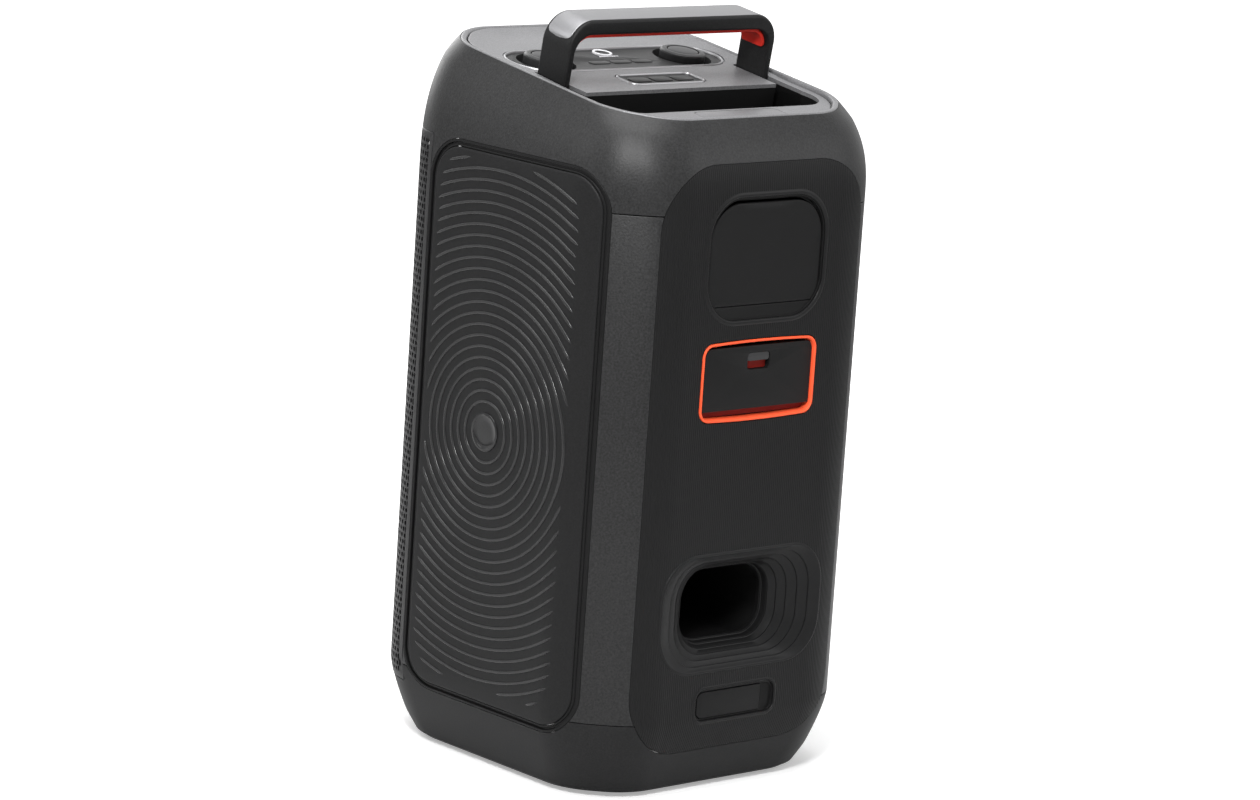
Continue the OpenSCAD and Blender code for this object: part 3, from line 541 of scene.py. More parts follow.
def boxPath(x0, x1, z0, z1):
    return np.array([[x0, z0], [x1, z0], [x1, z1], [x0, z1]], float)


cutters = [
    prismAlong("cutLeft", sideOutline(), 90, 200, "x"),
    prismAlong("cutRight", sideOutline(), -200, -90, "x"),
    prismAlong("cutRear", rearOutline(), 90, 200, "y"),
    prismAlong("cutFront", boxPath(-200, 200, sidePanel["bottom"], sidePanel["top"]), -200, sidePanel["front"], "y"),
]
for name, rings, node, finish in (
        ("baseShell", baseRings(), "base_cover", "base"), ("middleShell", middleRings(), "cabinet_shell", "shell"),
        ("topShell", topRings(), "top_cover", "shell")):
    piece = turnRight(shellPiece(name, rings))
    carve(piece, cutters, 30)
    setInto(piece, finishes[finish], "cabinet", [node])
drop(cutters)

land = dict(groove=5.0, sweep=22.0, rise=3.0, power=2.2, fadeFrom=30.0, fadeOver=40.0, thick=3.0, insertHalf=43.0,
            insertHalfY=10.4, insertR=6.0, insertY=110.2)
well = dict(half=108.5, front=41.0, rear=97.0, r=26.0, legIn=99.0, legFront=-13.0)


def rimRidge():
    # the bright crest round the deck: a low rounded ridge, then a fall into the groove beside the deck
    steps = ((0.75, -3.0), (0.75, 0.3), (0.95, 0.75), (1.4, 1.05), (2.2, 1.15), (3.1, 1.0), (3.7, 0.55), (4.1, -0.3),
             (4.25, -1.6), (4.3, -3.4))
    rings = [shellRing(cabinet["rim"] + h, slope, cabinet["shoulderInset"] + e) for e, h in steps]
    return turnRight(shellPiece("rimRidge", rings))


def wellPaths():
    # outlines of the handle's well: rounded behind, square in front, with a slot forward for each leg
    w = well
    depth, front = w["rear"] - w["front"], w["front"] - w["legFront"]
    paths = [roundedPath(w["half"], depth / 2, w["r"]) + [0, w["front"] + depth / 2],
             roundedPath(w["half"], 10, 0.3) + [0, w["front"] + 10]]
    slot = roundedPath((w["half"] - w["legIn"]) / 2, front / 2 + 8, 3)
    return paths + [slot + [sign * (w["half"] + w["legIn"]) / 2, w["legFront"] + front / 2 + 8] for sign in (-1, 1)]


def deckLand():
    # height of the deck above its plane: rise times (1 - distance from the rim / sweep) to a power,
    # fading out behind the middle
    top, low, d = [], deck["height"] - land["thick"], deck
    for away in (0.0, 0.5, 1.2, 2.5, 4.5, 7, 10, 13, 16, 19, land["sweep"]):
        ring = planRing(cabinet["shoulderInset"] + land["groove"] + away)
        fade = np.clip((land["fadeFrom"] - ring[:, 1]) / land["fadeOver"], 0, 1)
        h = land["rise"] * (1 - away / land["sweep"]) ** land["power"] * fade - (0.35 if away == 0 else 0.0)
        top.append(np.column_stack([ring, d["height"] - slope * ring[:, 1] + h]))
    inner = top[-1]
    for share in (0.8, 0.6, 0.4, 0.2):
        ring = inner[:, :2] * share
        top.append(np.column_stack([ring, d["height"] - slope * ring[:, 1]]))
    under = [np.column_stack([r[:, :2], low - slope * r[:, 1]]) for r in (top[0], inner, top[-3])]
    rings = top[::-1] + under
    count = len(inner)
    points = np.concatenate([*rings, [[0, 0, d["height"]], [0, 0, low]]])
    faces = [gridFaces(count, len(rings), True), fanFaces(count, 0, len(points) - 2, True),
             fanFaces(count, len(rings) - 1, len(points) - 1)]
    piece = turnRight(makePiece("deckLand", points, faces, 30))
    holes = wellPaths() + [
        roundedPath(d["panelHalf"] + d["bezel"], d["panelD"] / 2 + d["bezel"], 60) + [0, d["panelY"]],
        roundedPath(d["pillHalf"] + d["bezel"], d["pillD"] / 2 + d["bezel"], 9) + [0, d["pillY"]],
        roundedPath(land["insertHalf"], land["insertHalfY"], land["insertR"]) + [0, land["insertY"]]]
    tools = [prismAlong("deckHole", path, -12, 12, "deck") for path in holes]
    carve(piece, tools, 30)
    drop(tools)
    return piece


setInto(rimRidge(), finishes["rim"])
setInto(deckLand(), finishes["deck"], "cabinet", ["top_deck"])
print("stage: shells")

# rear panel
rearFittings = dict(
    io=dict(mid=424.5, halfW=60.5, halfH=48.5, r=32.0, hinge=388.0),
    battery=dict(mid=329.5, halfW=59.5, halfH=30.5, r=10.0, bow=1.6),
    port=dict(mid=147.5, halfW=83.0, halfH=46.5, r=34.0, steps=6, narrow=39.0, flatten=18.5, tighten=13.0,
              deep=26.0, curveW=1.6, curveH=1.25, curveDeep=1.35),
    mains=dict(mid=73.5, halfW=42.0, halfH=13.5, r=9.0, hinge=-27.5),
)


def ribbedSlab():
    # rear skin lifted by a row of raised cosine ribs, closed by a flat inner face
    r = rearPanel
    xs = np.linspace(-r["half"], r["half"], int(2 * r["half"] / r["ribPitch"] * 6) + 1)
    zs = np.concatenate([np.linspace(r["bottom"], cabinet["baseTop"], 9)[:-1],
                         np.linspace(cabinet["baseTop"], cabinet["seam"], 5)[:-1],
                         np.linspace(cabinet["seam"], r["top"], 12)])
    x, z = np.meshgrid(xs, zs)
    rib = r["ribHeight"] * (0.5 - 0.5 * np.cos(2 * math.pi * x / r["ribPitch"])) ** 1.5
    outer = np.stack([x, rearY(x, z) + rib - 0.05, z], -1).reshape(-1, 3)
    inner = np.stack([x, rearY(x, z) - 3.0, z], -1).reshape(-1, 3)
    w, h = len(xs), len(zs)
    n = w * h
    rim = np.concatenate([np.arange(w), np.arange(1, h) * w + w - 1,
                          (h - 1) * w + np.arange(w - 2, -1, -1), np.arange(h - 2, 0, -1) * w])
    wall = np.stack([rim, np.roll(rim, -1), np.roll(rim, -1) + n, rim + n], -1)
    faces = [gridFaces(w, h), gridFaces(w, h, start=n)[:, ::-1], wall]
    return turnRight(makePiece("rearRibs", np.concatenate([outer, inner]), faces, 50))


def rearCutter(name, spec, grow):
    # a fitting's outline carried straight through the rear panel
    path = roundedPath(spec["halfW"] + grow, spec["halfH"] + grow, spec["r"] + grow, 12, spec.get("bow", 0))
    return prismAlong(name, path + [0, spec["mid"]], 90, 200, "y")


ribs = ribbedSlab()
r = rearPanel
keep = prismAlong("keepRear", rearOutline(-0.35), 80, 220, "y")
change = ribs.modifiers.new("trim", "BOOLEAN")
change.operation, change.solver, change.object = "INTERSECT", "MANIFOLD", keep
holes = [rearCutter("hole" + key, spec, -1.0 if key != "battery" else 0.3) for key, spec in rearFittings.items()]
carve(ribs, holes, 50)
drop([keep, *holes])
setInto(ribs, finishes["rear"], "cabinet", ["rear_panel"])
print("stage: rear panel", len(ribs.data.polygons))

# side panels
ridges = dict(centreY=-2.0, centreZ=270.0, first=24.0, pitch=8.6, width=2.6, height=1.1, margin=12.0)


def ridgePiece(name, sign):
    # concentric half-round ridges on the panel's surface, each run tapering out where it meets the margin
    s, q = sidePanel, ridges
    low = np.array([s["front"] + q["margin"], s["bottom"] + q["margin"] + 6])
    high = np.array([s["rear"] - q["margin"] - 12, s["top"] - q["margin"]])
    corner = s["corner"] - 6
    section = np.radians(np.linspace(0, 180, 9))
    across, up = np.cos(section) * q["width"] / 2, np.sin(section) * q["height"] - 0.12
    points, faces, start = [], [], 0
    for radius in np.arange(q["first"], 262, q["pitch"]):
        count = max(int(radius * 2 * math.pi / 1.8), 60)
        turn = np.linspace(0, 2 * math.pi, count, endpoint=False)
        y, z = q["centreY"] + radius * np.cos(turn), q["centreZ"] + radius * np.sin(turn)
        dx = np.maximum(np.maximum(low[0] + corner - y, y - high[0] + corner), 0)
        dz = np.maximum(np.maximum(low[1] + corner - z, z - high[1] + corner), 0)
        inside = (np.hypot(dx, dz) <= corner)
        if inside.all():
            runs = [np.arange(count)]
        else:
            first = int(np.argmin(inside))
            order = (np.arange(count) + first) % count
            edges = np.flatnonzero(np.diff(np.concatenate([[0], inside[order].astype(int), [0]])))
            runs = [order[a:b] for a, b in edges.reshape(-1, 2) if b - a > 4]
        for run in runs:
            whole = len(run) == count
            t = turn[run]
            step = radius * 2 * math.pi / count
            reach = np.minimum(np.arange(len(run)), np.arange(len(run))[::-1]) * step
            taper = np.ones(len(run)) if whole else np.clip(reach / 5, 0.02, 1) ** 0.5
            rr = radius + across[None, :] * taper[:, None]
            yy = q["centreY"] + rr * np.cos(t)[:, None]
            zz = q["centreZ"] + rr * np.sin(t)[:, None]
            xx = sideX(yy, zz) + 0.1 + up[None, :] * taper[:, None]
            points.append(np.stack([sign * xx, yy, zz], -1).reshape(-1, 3))
            faces.append(gridFaces(len(section), len(run), False, whole, start))
            start += len(run) * len(section)
    piece = makePiece(name, np.concatenate(points), faces, 60)
    if sign < 0:
        piece.data.flip_normals()
    return piece


for sign, side in ((1, "left"), (-1, "right")):
    halfW, halfH = (sidePanel["rear"] - sidePanel["front"]) / 2, (sidePanel["top"] - sidePanel["bottom"]) / 2
    trimSteps = [(0.35, -3.0), (0.35, -0.35), (0.6, -0.08), (1.0, 0.0), (1.9, 0.0), (2.3, -0.25), (2.5, -0.8),
                 (2.6, -1.9), (4.3, -1.9), (4.5, -1.1), (4.8, -0.9), (5.7, -0.9), (6.0, -1.2), (6.1, -3.0)]
    trim = padPiece(side + "Trim", halfW, halfH, sidePanel["corner"], trimSteps, onSide(sign), fine=16)
    setInto(trim, finishes["trim"], "cabinet", ["side_trim_" + side])
    faceSteps = [(6.4, -3.0), (6.4, -0.9), (6.6, -0.45), (7.0, -0.12), (7.6, 0.05), (8.6, 0.1)]
    panel = padPiece(side + "Panel", halfW, halfH, sidePanel["corner"], faceSteps, onSide(sign), fill=26, fine=16)
    setInto(panel, finishes["side"], "cabinet", ["side_panel_" + side])
    lines = ridgePiece(side + "Ridges", sign)
    setInto(lines, finishes["ridge"])

    def onBadge(a, b, h, sign=sign):
        y, z = ridges["centreY"] + sign * a, ridges["centreZ"] + b
        return np.stack([sign * (sideX(y, z) + h), y, z], -1)
    badge = lathe(side + "Badge", [(15.5, -0.6), (15.5, 0.5), (15.2, 0.95), (14.6, 1.15), (13.6, 1.1), (13.0, 0.6),
                                   (12.6, 0.35), (8, 0.45), (3, 0.5), (0.02, 0.5)], onBadge)
    setInto(badge, finishes["glossy"])
print("stage: side panels")

# rear fittings
spec = rearFittings["io"]
lipSteps = [(-3.4, -0.2), (-3.0, 0.15), (-2.2, 0.55), (-1.2, 0.8), (-0.2, 0.75), (0.5, 0.4), (0.9, -0.3), (1.1, -1.2),
            (1.4, -2.0), (2.4, -2.2), (2.4, -6.0)]
lip = padPiece("jackLip", spec["halfW"], spec["halfH"], spec["r"], lipSteps, onRear(spec["mid"]), fine=16)
setInto(lip, finishes["lip"])
flapTop = spec["mid"] + spec["halfH"] - 5.6
flapLow = spec["hinge"] + 0.1


def flapPiece(name, x0, x1, z0, z1, corners, body, finish, node, steps, dimple=None):
    # a thin cover whose outline has its own radius at each corner, swept by an edge profile
    halfW, halfH = (x1 - x0) / 2, (z1 - z0) / 2
    path = []
    for k, (sx, sz) in enumerate([(1, 1), (-1, 1), (-1, -1), (1, -1)]):
        rc = corners[k]
        turn = np.radians(np.linspace(0, 90, 14) + 90 * k)
        path.append(np.stack([sx * (halfW - rc) + rc * np.cos(turn), sz * (halfH - rc) + rc * np.sin(turn)], -1))
    loop = np.concatenate(path)
    gap = np.roll(loop, -1, 0) - loop
    extra = np.clip((np.hypot(*gap.T) / 6).astype(int), 0, 30)
    loop = np.concatenate([loop[i] + gap[i] * np.linspace(0, 1, extra[i] + 2)[:-1, None] for i in range(len(loop))])
    small = np.array([halfW, halfH])
    rings = [(loop * (1 - offset / small), h) for offset, h in steps]
    rings += [(rings[len(steps) - 1][0] * share, steps[-1][1]) for share in np.linspace(1, 0, 20)[1:-1]]
    a = np.concatenate([ring[:, 0] for ring, _ in rings] + [[0.0]])
    b = np.concatenate([ring[:, 1] for ring, _ in rings] + [[0.0]])
    h = np.concatenate([np.full(len(loop), depth) for _, depth in rings] + [[steps[-1][1]]])
    x, z = (x0 + x1) / 2 + a, (z0 + z1) / 2 + b
    if dimple is not None:
        h = h + dimple(x, z)
    points = np.stack([x, cabinet["halfY"] + h, z], -1)
    count = len(loop)
    faces = [gridFaces(count, len(rings), True), fanFaces(count, len(rings) - 1, len(points) - 1)]
    piece = makePiece(name, points, faces, 35)
    piece.data.flip_normals()
    back = piece.modifiers.new("back", "SOLIDIFY")
    back.thickness, back.offset = 0.0016, -1
    evaluated(piece)
    shadeSmooth(piece, 35)
    return setInto(piece, finishes[finish], body, [node])


coverSteps = [(0.0, -3.2), (0.05, -2.2), (0.3, -1.8), (0.8, -1.62), (1.6, -1.55)]


def ioDimple(x, z):
    # a shallow scoop along the top edge for a finger
    top = np.clip((z - (flapTop - 5.5)) / 5.5, 0, 1)
    return -1.6 * top ** 1.5 * np.clip(1.25 - (x / 26) ** 2, 0, 1)


flapPiece("jackFlap", -57.6, 57.6, flapLow, flapTop, [29, 29, 1.2, 1.2], "jack_cover", "flap", "jack_flap",
          coverSteps, ioDimple)


def refine(node, finish, bevel):
    # a merged copy of a CAD node with small rounded edges
    source = frame["nodes"][node]
    piece = bpy.data.objects.new(node + ".fine", source.data.copy())
    bpy.context.scene.collection.objects.link(piece)
    work = bmesh.new()
    work.from_mesh(piece.data)
    bmesh.ops.remove_doubles(work, verts=work.verts, dist=2e-6)
    bmesh.ops.dissolve_limit(work, angle_limit=math.radians(0.6), verts=work.verts, edges=work.edges)
    work.to_mesh(piece.data)
    work.free()
    if bevel:
        softEdge = piece.modifiers.new("edge", "BEVEL")
        softEdge.width, softEdge.segments, softEdge.limit_method = bevel * 0.001, 2, "ANGLE"
        softEdge.angle_limit = math.radians(30)
        softEdge.harden_normals = False
        evaluated(piece)
    shadeSmooth(piece, 35)
    return setInto(piece, finishes[finish], bodyOf[node], [node])


for node, finish, bevel in (
        ("jack_tray", "black", 0.3), ("jack_sockets", "steel", 0.25), ("battery_bay", "black", 0.2),
        ("battery_case", "flap", 0.4), ("battery_latch", "cap", 0.3), ("port_tube", "black", 0.3),
        ("mains_inlet", "black", 0.25), ("stowage_well", "black", 0.0), ("handle_brackets", "steel", 0.2),
        ("rubber_feet", "rubber", 0.5), ("front_baffle", "trim", 0.3), ("light_rings", "milk", 0.4),
        ("woofer_baskets", "dark", 0.3), ("woofer_magnets", "dark", 0.4), ("tweeters", "dark", 0.2),
        ("driver_screws", "steel", 0.2), ("rim_insert", "rim", 0.25), ("control_panel", "control", 0.25),
        ("pill_panel", "control", 0.2), ("power_button", "key", 0.15), ("strip_buttons_left", "key", 0.35),
        ("strip_buttons_middle", "key", 0.35), ("strip_buttons_right", "key", 0.35),
        ("pill_button_left", "key", 0.4), ("pill_button_middle", "key", 0.4), ("pill_button_right", "key", 0.4),
        ("mains_flap", "flap", 0.3)):
    refine(node, finish, bevel)
for node, finish in (("handle_pins", "steel"), ("woofer_spiders", "amber"), ("woofer_surrounds", "rubber"),
                     ("woofer_cone_upper", "cone"), ("woofer_cone_lower", "cone"), ("button_board", "board"),
                     ("knob_encoders", "steel"), ("battery_cells", "cell"), ("chassis_plate", "aluminium"),
                     ("power_board", "board"), ("amplifier_board", "board")):
    refine(node, finish, 0)
print("stage: fine copies")

# deck fittings
bezelSteps = [(0.2, -3.0), (0.2, -1.0), (1.0, -1.05), (1.15, -0.3), (1.35, 0.3), (1.7, 0.65), (2.1, 0.75), (2.5, 0.6),
              (2.8, 0.1), (3.0, -0.8), (3.0, -3.0)]
d = deck
bezel = padPiece("controlBezel", d["panelHalf"] + d["bezel"], d["panelD"] / 2 + d["bezel"], 60, bezelSteps,
                 onDeckAt(0, d["panelY"]), fine=40)
setInto(bezel, finishes["bezel"], "cabinet", ["control_bezel"])
bezel = padPiece("pillBezel", d["pillHalf"] + d["bezel"], d["pillD"] / 2 + d["bezel"], 9, bezelSteps,
                 onDeckAt(0, d["pillY"]), fine=16)
setInto(bezel, finishes["bezel"], "cabinet", ["pill_bezel"])
powerSteps = [(8.1, -1.6), (8.1, 0.2), (7.8, 0.55), (7.1, 0.65), (6.4, 0.55), (6.1, 0.2), (6.1, -1.0)]
powerRing = lathe("powerRing", powerSteps, onDeckAt(0, d["powerY"], -0.1))
setInto(powerRing, finishes["mark"], "power_key")
barSteps = [(0, -1.6), (0, -0.7), (0.1, -0.55), (0.25, -0.5)]
bar = padPiece("lightBar", d["barHalf"], d["barR"], d["barR"], barSteps, onDeckAt(0, d["barY"]), 3)
setInto(bar, finishes["mark"])
# each knob: a dark wall, a flange on top in the lighter cap grey as a painted highlight on its top edge, and the cap
# that presses inside it; (out from knobR, height)
wallSteps = [(-2, -8.0), (0, -8.0), (0, 2.4), (-0.15, 3.2), (-0.6, 3.8)]
flangeSteps = [(-0.6, 3.8), (-1.4, 4.3), (-2.8, 4.65), (-4.6, 4.8), (-5.2, 4.6), (-5.4, 4.0), (-5.5, -2.0)]
capSteps = [(-6, -3), (-6, 3.9), (-6.3, 4.35), (-7.2, 4.6), (-10.5, 4.9), (-14.5, 5.0), (-18.48, 5.02)]
for sign, side in ((1, "left"), (-1, "right")):
    place, knob = onDeckAt(sign * d["knobX"], d["panelY"]), "knob_" + side
    for name, steps, finish, body, node in (
            ("KnobWall", wallSteps, "knob", "_knob", knob), ("KnobTopHighlight", flangeSteps, "cap", "_knob", None),
            ("KnobCap", capSteps, "cap", "_cap", "knob_cap_" + side)):
        piece = lathe(side + name, [(d["knobR"] + out, h) for out, h in steps], place)
        setInto(piece, finishes[finish], side + body, [node] if node else ())

# handle
handle = dict(half=107.0, top=51.0, r=22.0, legT=6.5, gripT=11.5, width=34.0, pivotY=6.0, pivotZ=-14.0, corner=2.4,
              plateW=27.6, plateEnd=7.0, plateStop=13.0, lining=3.2, liningW=26.0, liningEnd=9.0, liningLow=27.0)


def archPath(half, top, r, low, steps=30):
    # the handle's outline in the deck's x and height: up one leg, round both shoulders, down the other
    a = np.linspace(0, math.pi / 2, steps)
    legX, legZ = np.full(24, float(half)), np.linspace(low, top - r, 25)[:-1]
    arc = np.stack([half - r + r * np.cos(a), top - r + r * np.sin(a)], -1)
    across = np.stack([np.linspace(half - r, 0, 25)[1:], np.full(24, float(top))], -1)
    halfRun = np.concatenate([np.stack([legX, legZ], -1), arc, across])
    return np.concatenate([halfRun, halfRun[::-1][1:] * [-1, 1]])


def sweepBand(name, outer, inner, width, corner):
    # a rounded rectangle carried between two outlines: its thickness is their distance, and width may change
    t = outer - inner
    thick = np.hypot(*t.T)
    n = t / thick[:, None]
    middle = (outer + inner) / 2
    a = np.radians(np.linspace(0, 90, 6))
    points = []
    width = np.broadcast_to(width, thick.shape)
    c = np.minimum(np.minimum(corner, thick / 2 - 0.01), np.maximum(width / 2 - 0.01, 0.01))
    for k, (sx, sy) in enumerate([(1, 1), (-1, 1), (-1, -1), (1, -1)]):
        turn = a + k * math.pi / 2
        u = sx * (thick / 2 - c)[:, None] + c[:, None] * np.cos(turn)
        v = sy * (width / 2 - c)[:, None] + c[:, None] * np.sin(turn)
        points.append(np.stack([u, v], -1))
    ring = np.concatenate(points, 1)
    flat = middle[:, None, :] + n[:, None, :] * ring[..., :1]
    place = onDeck(flat[..., 0], handle["pivotY"] + ring[..., 1], flat[..., 1])
    count, rows = ring.shape[1], ring.shape[0]
    cap = np.arange(count)
    faces = [gridFaces(count, rows, True), cap[None, ::-1], (cap + count * (rows - 1))[None, :]]
    return turnRight(makePiece(name, place.reshape(-1, 3), faces, 35))


def endWidth(path, width, length):
    # width along a run, rounded off over its last stretch at each end by a superellipse of power 3
    run = np.concatenate([[0], np.cumsum(np.hypot(*np.diff(path, axis=0).T))])
    near = np.clip(np.minimum(run, run[-1] - run) / length, 0.002, 1)
    return width * (1 - (1 - near) ** 3) ** (1 / 3)


def handlePieces():
    # the strap, its brushed plate with a dark seam round it, and the soft lining under the grip
    h = handle
    low = h["pivotZ"] - h["width"] / 2 + 0.3
    outer = archPath(h["half"], h["top"], h["r"], low)
    inner = archPath(h["half"] - h["legT"], h["top"] - h["gripT"], h["r"] - h["legT"], low)
    below = np.clip(h["pivotZ"] - outer[:, 1], 0, h["width"] / 2 - 0.2)
    width = 2 * np.sqrt((h["width"] / 2) ** 2 - below ** 2)  # round about the pivot at each end
    strap = sweepBand("handleStrap", outer, inner, width, h["corner"])
    setInto(strap, finishes["strap"], "handle", ["handle_strap"])
    bend = np.degrees(np.arctan2(outer[:, 1] - h["top"] + h["r"], np.abs(outer[:, 0]) - h["half"] + h["r"]))
    keep = (outer[:, 1] >= h["top"] - h["r"]) & (bend > h["plateStop"])
    first, last = np.flatnonzero(keep)[[0, -1]]

    def shifted(lift):
        # the outer line moved outwards by lift, resampled over the plate's run with more points at its ends
        run = outer[first:last + 1]
        tangent = np.gradient(run, axis=0)
        normal = np.stack([tangent[:, 1], -tangent[:, 0]], -1) / np.hypot(*tangent.T)[:, None]
        run = run + normal * lift
        along = np.concatenate([[0], np.cumsum(np.hypot(*np.diff(run, axis=0).T))])
        ease = 0.5 - 0.5 * np.cos(np.linspace(0, math.pi, 160))
        at = along[-1] * (0.5 * ease + 0.5 * np.linspace(0, 1, 160))
        return np.stack([np.interp(at, along, run[:, 0]), np.interp(at, along, run[:, 1])], -1)

    for name, lift, grow, finish in (("plateSeam", 0.12, 1.3, "black"), ("handlePlate", 0.4, 0.0, "plate")):
        above = shifted(lift)
        wide = endWidth(above, h["plateW"] + 2 * grow, h["plateEnd"])
        plate = sweepBand(name, above, shifted(-1.2), wide, 0.4)
        setInto(plate, finishes[finish], "handle", ["handle_plate"] if grow == 0 else ())
    gap = h["legT"] - 0.2
    redOut = archPath(h["half"] - gap, h["top"] - h["gripT"] + 0.3, h["r"] - gap, h["liningLow"])
    gap = h["legT"] + h["lining"]
    redIn = archPath(h["half"] - gap, h["top"] - h["gripT"] - h["lining"], h["r"] - gap, h["liningLow"])
    lining = sweepBand("handleLining", redOut, redIn, endWidth(redOut, h["liningW"], h["liningEnd"]), 1.5)
    setInto(lining, finishes["red"], "handle", ["handle_underlay"])


handlePieces()
print("stage: deck fittings and handle")

# battery rim: a coloured lip whose long edges bow outwards
spec = rearFittings["battery"]
rimSteps = [(0.4, -3.0), (0.4, 0.2), (0.6, 0.6), (1.0, 0.85), (1.7, 0.85), (2.2, 0.5), (2.5, -0.3), (3.1, -3),
            (3.3, -8)]
rim = padPiece("batteryRim", spec["halfW"], spec["halfH"], spec["r"], rimSteps, onRear(spec["mid"]), bow=spec["bow"])
setInto(rim, finishes["orange"], "cabinet", ["battery_rim"])

# red in the door's bottom gap and under its catch, in a darker red that is painted shade on the red inner wall there
redBands = dict(doorBand=(54.0, 302.0, 306.6, 143.0), catchBack=(11.0, 337.6, 344.2, 143.6))  # half, low, high, y
for name, (half, low, high, front) in redBands.items():
    band = prismAlong(name, boxPath(-half, half, low, high), front - 2, front, "y")
    setInto(band, finishes["redInShade"], "battery")


def portFlare():
    # bands of rounded rectangles, i of n: the half width shrinks by narrow (1 - (1 - i/n)^curveW), the half
    # height by flatten (1 - (1 - i/n)^curveH), the corner by tighten i/n, and each lies deep (i/n)^curveDeep in
    spec, rings = rearFittings["port"], []
    n = spec["steps"]

    def band(i, out, depth):
        share = i / n
        halfW = spec["halfW"] - spec["narrow"] * (1 - (1 - share) ** spec["curveW"]) + out
        halfH = spec["halfH"] - spec["flatten"] * (1 - (1 - share) ** spec["curveH"]) + out
        loop = roundedPath(halfW, halfH, spec["r"] - spec["tighten"] * share + out, 20, straight=12)
        rings.append(np.column_stack([loop, np.full(len(loop), depth)]))

    for out, depth in ((1.8, -0.4), (1.5, 0.1), (1.0, 0.5), (0.3, 0.75), (-0.4, 0.7), (-1.0, 0.35), (-1.5, -0.1)):
        band(0, out, depth)
    for i in range(1, n + 1):
        deep = -spec["deep"] * (i / n) ** spec["curveDeep"]
        for out, extra in ((0.5, 0.25), (0.12, 0.1), (-0.12, -0.15), (-0.25, -1.1), (-0.5, -1.3)):
            band(i, out, deep + extra)
    band(n, -0.5, -spec["deep"] - 5)
    flat = np.concatenate(rings)
    points = onRear(spec["mid"])(flat[:, 0], flat[:, 1], flat[:, 2])
    return makePiece("portFlare", points, [gridFaces(len(rings[0]), len(rings), True)], 30)


setInto(portFlare(), finishes["lip"], "cabinet", ["port_flare"])

# mains cover: a soft lip round it
spec = rearFittings["mains"]
lipSteps = [(-2.0, -0.15), (-1.6, 0.2), (-0.8, 0.5), (0.0, 0.45), (0.5, 0.0), (0.8, -1.0), (1.2, -1.9), (2.6, -2.0)]
lip = padPiece("mainsLip", spec["halfW"], spec["halfH"], spec["r"], lipSteps, onRear(spec["mid"]), fine=12)
setInto(lip, finishes["lip"])
print("stage: rear fittings")

# front grille
grille = dict(pitch=6.0, hole=2.1, thick=1.2, border=4.0)


def grillePiece():
    # a plan run from one side round the front to the other, with six-sided holes in a honeycomb of cells
    g, ring = grille, planRing(0.0, 24)
    ring = np.concatenate([ring, ring[:1]])
    front = ring[ring[:, 1] <= sidePanel["front"] - 0.3 + 1e-9]
    front = front[np.argsort(np.arctan2(front[:, 0], -front[:, 1]))]
    ends = np.array([[-cabinet["halfX"], sidePanel["front"] - 0.3], [cabinet["halfX"], sidePanel["front"] - 0.3]])
    front = np.concatenate([ends[:1], front, ends[1:]])
    run = np.concatenate([[0], np.cumsum(np.hypot(*np.diff(front, axis=0).T))])
    total = run[-1]

    def bend(u, z, depth):
        x, y = np.interp(u, run, front[:, 0]), np.interp(u, run, front[:, 1])
        step = 0.5
        x2, y2 = np.interp(u + step, run, front[:, 0]), np.interp(u + step, run, front[:, 1])
        x1, y1 = np.interp(u - step, run, front[:, 0]), np.interp(u - step, run, front[:, 1])
        tx, ty = x2 - x1, y2 - y1
        size = np.hypot(tx, ty)
        nx, ny = ty / size, -tx / size
        drawn = insetAt(y, z) + depth
        return np.stack([x - nx * drawn, y - ny * drawn, z], -1)

    low, high = sidePanel["bottom"] + 0.3, sidePanel["top"] - 0.3
    across, rise = g["pitch"], g["pitch"] * math.sqrt(3) / 2
    cols, rows = int((total - 2 * g["border"]) / across), int((high - low - 2 * g["border"]) / rise)
    i, j = np.meshgrid(np.arange(cols), np.arange(rows))
    u0 = (total - (cols - 0.5) * across) / 2 + across * (i + 0.5 * (j % 2))
    z0 = (low + high) / 2 + rise * (j - (rows - 1) / 2)
    turn = np.radians(30 + 60 * np.arange(6))
    outer = np.stack([np.cos(turn), np.sin(turn)], -1) * across / math.sqrt(3)
    hole = np.stack([np.cos(turn), np.sin(turn)], -1) * g["hole"]
    cell = np.concatenate([outer, hole, hole])
    depth = np.repeat([0.0, 0.0, g["thick"]], 6)
    u = (u0.reshape(-1, 1) + cell[:, 0]).ravel()
    z = (z0.reshape(-1, 1) + cell[:, 1]).ravel()
    points = bend(u, z, np.tile(depth, cols * rows))
    k = np.arange(6)
    k2 = (k + 1) % 6
    unit = np.concatenate([np.stack([k, k2, k2 + 6, k + 6], -1), np.stack([k + 6, k2 + 6, k2 + 12, k + 12], -1)])
    faces = (unit[None] + 18 * np.arange(cols * rows)[:, None, None]).reshape(-1, 4)
    sheet = makePiece("grilleHoles", points, [faces], 40)
    flat = roundedPath(total / 2, (high - low) / 2, 2.0, 4)
    steps = [(0.0, 1.4), (0.0, 0.3), (0.3, -0.05), (1.0, -0.15), (5.6, -0.15), (6.0, 0.0), (6.2, 1.0)]
    inner = [shrunk(total / 2, (high - low) / 2, 2.0, offset, flat) for offset, _ in steps]
    a = np.concatenate([p[:, 0] for p in inner]) + total / 2
    b = np.concatenate([p[:, 1] for p in inner]) + (low + high) / 2
    frameEdge = makePiece("grilleEdge", bend(a, b, np.repeat([d for _, d in steps], len(flat))),
                          [gridFaces(len(flat), len(steps), True)], 40)
    return sheet, frameEdge


sheet, edge = grillePiece()
setInto(sheet, finishes["grille"], "cabinet", ["front_grille"])
setInto(edge, finishes["grille"])
print("stage: grille", len(sheet.data.polygons))

# camera, light and floor
view = dict(azimuth=138.1, elevation=11.3, roll=3.9, distance=3.653, target=0.280, focal=4600.0, width=1260.0,
            shiftX=3.3, shiftY=5.1)


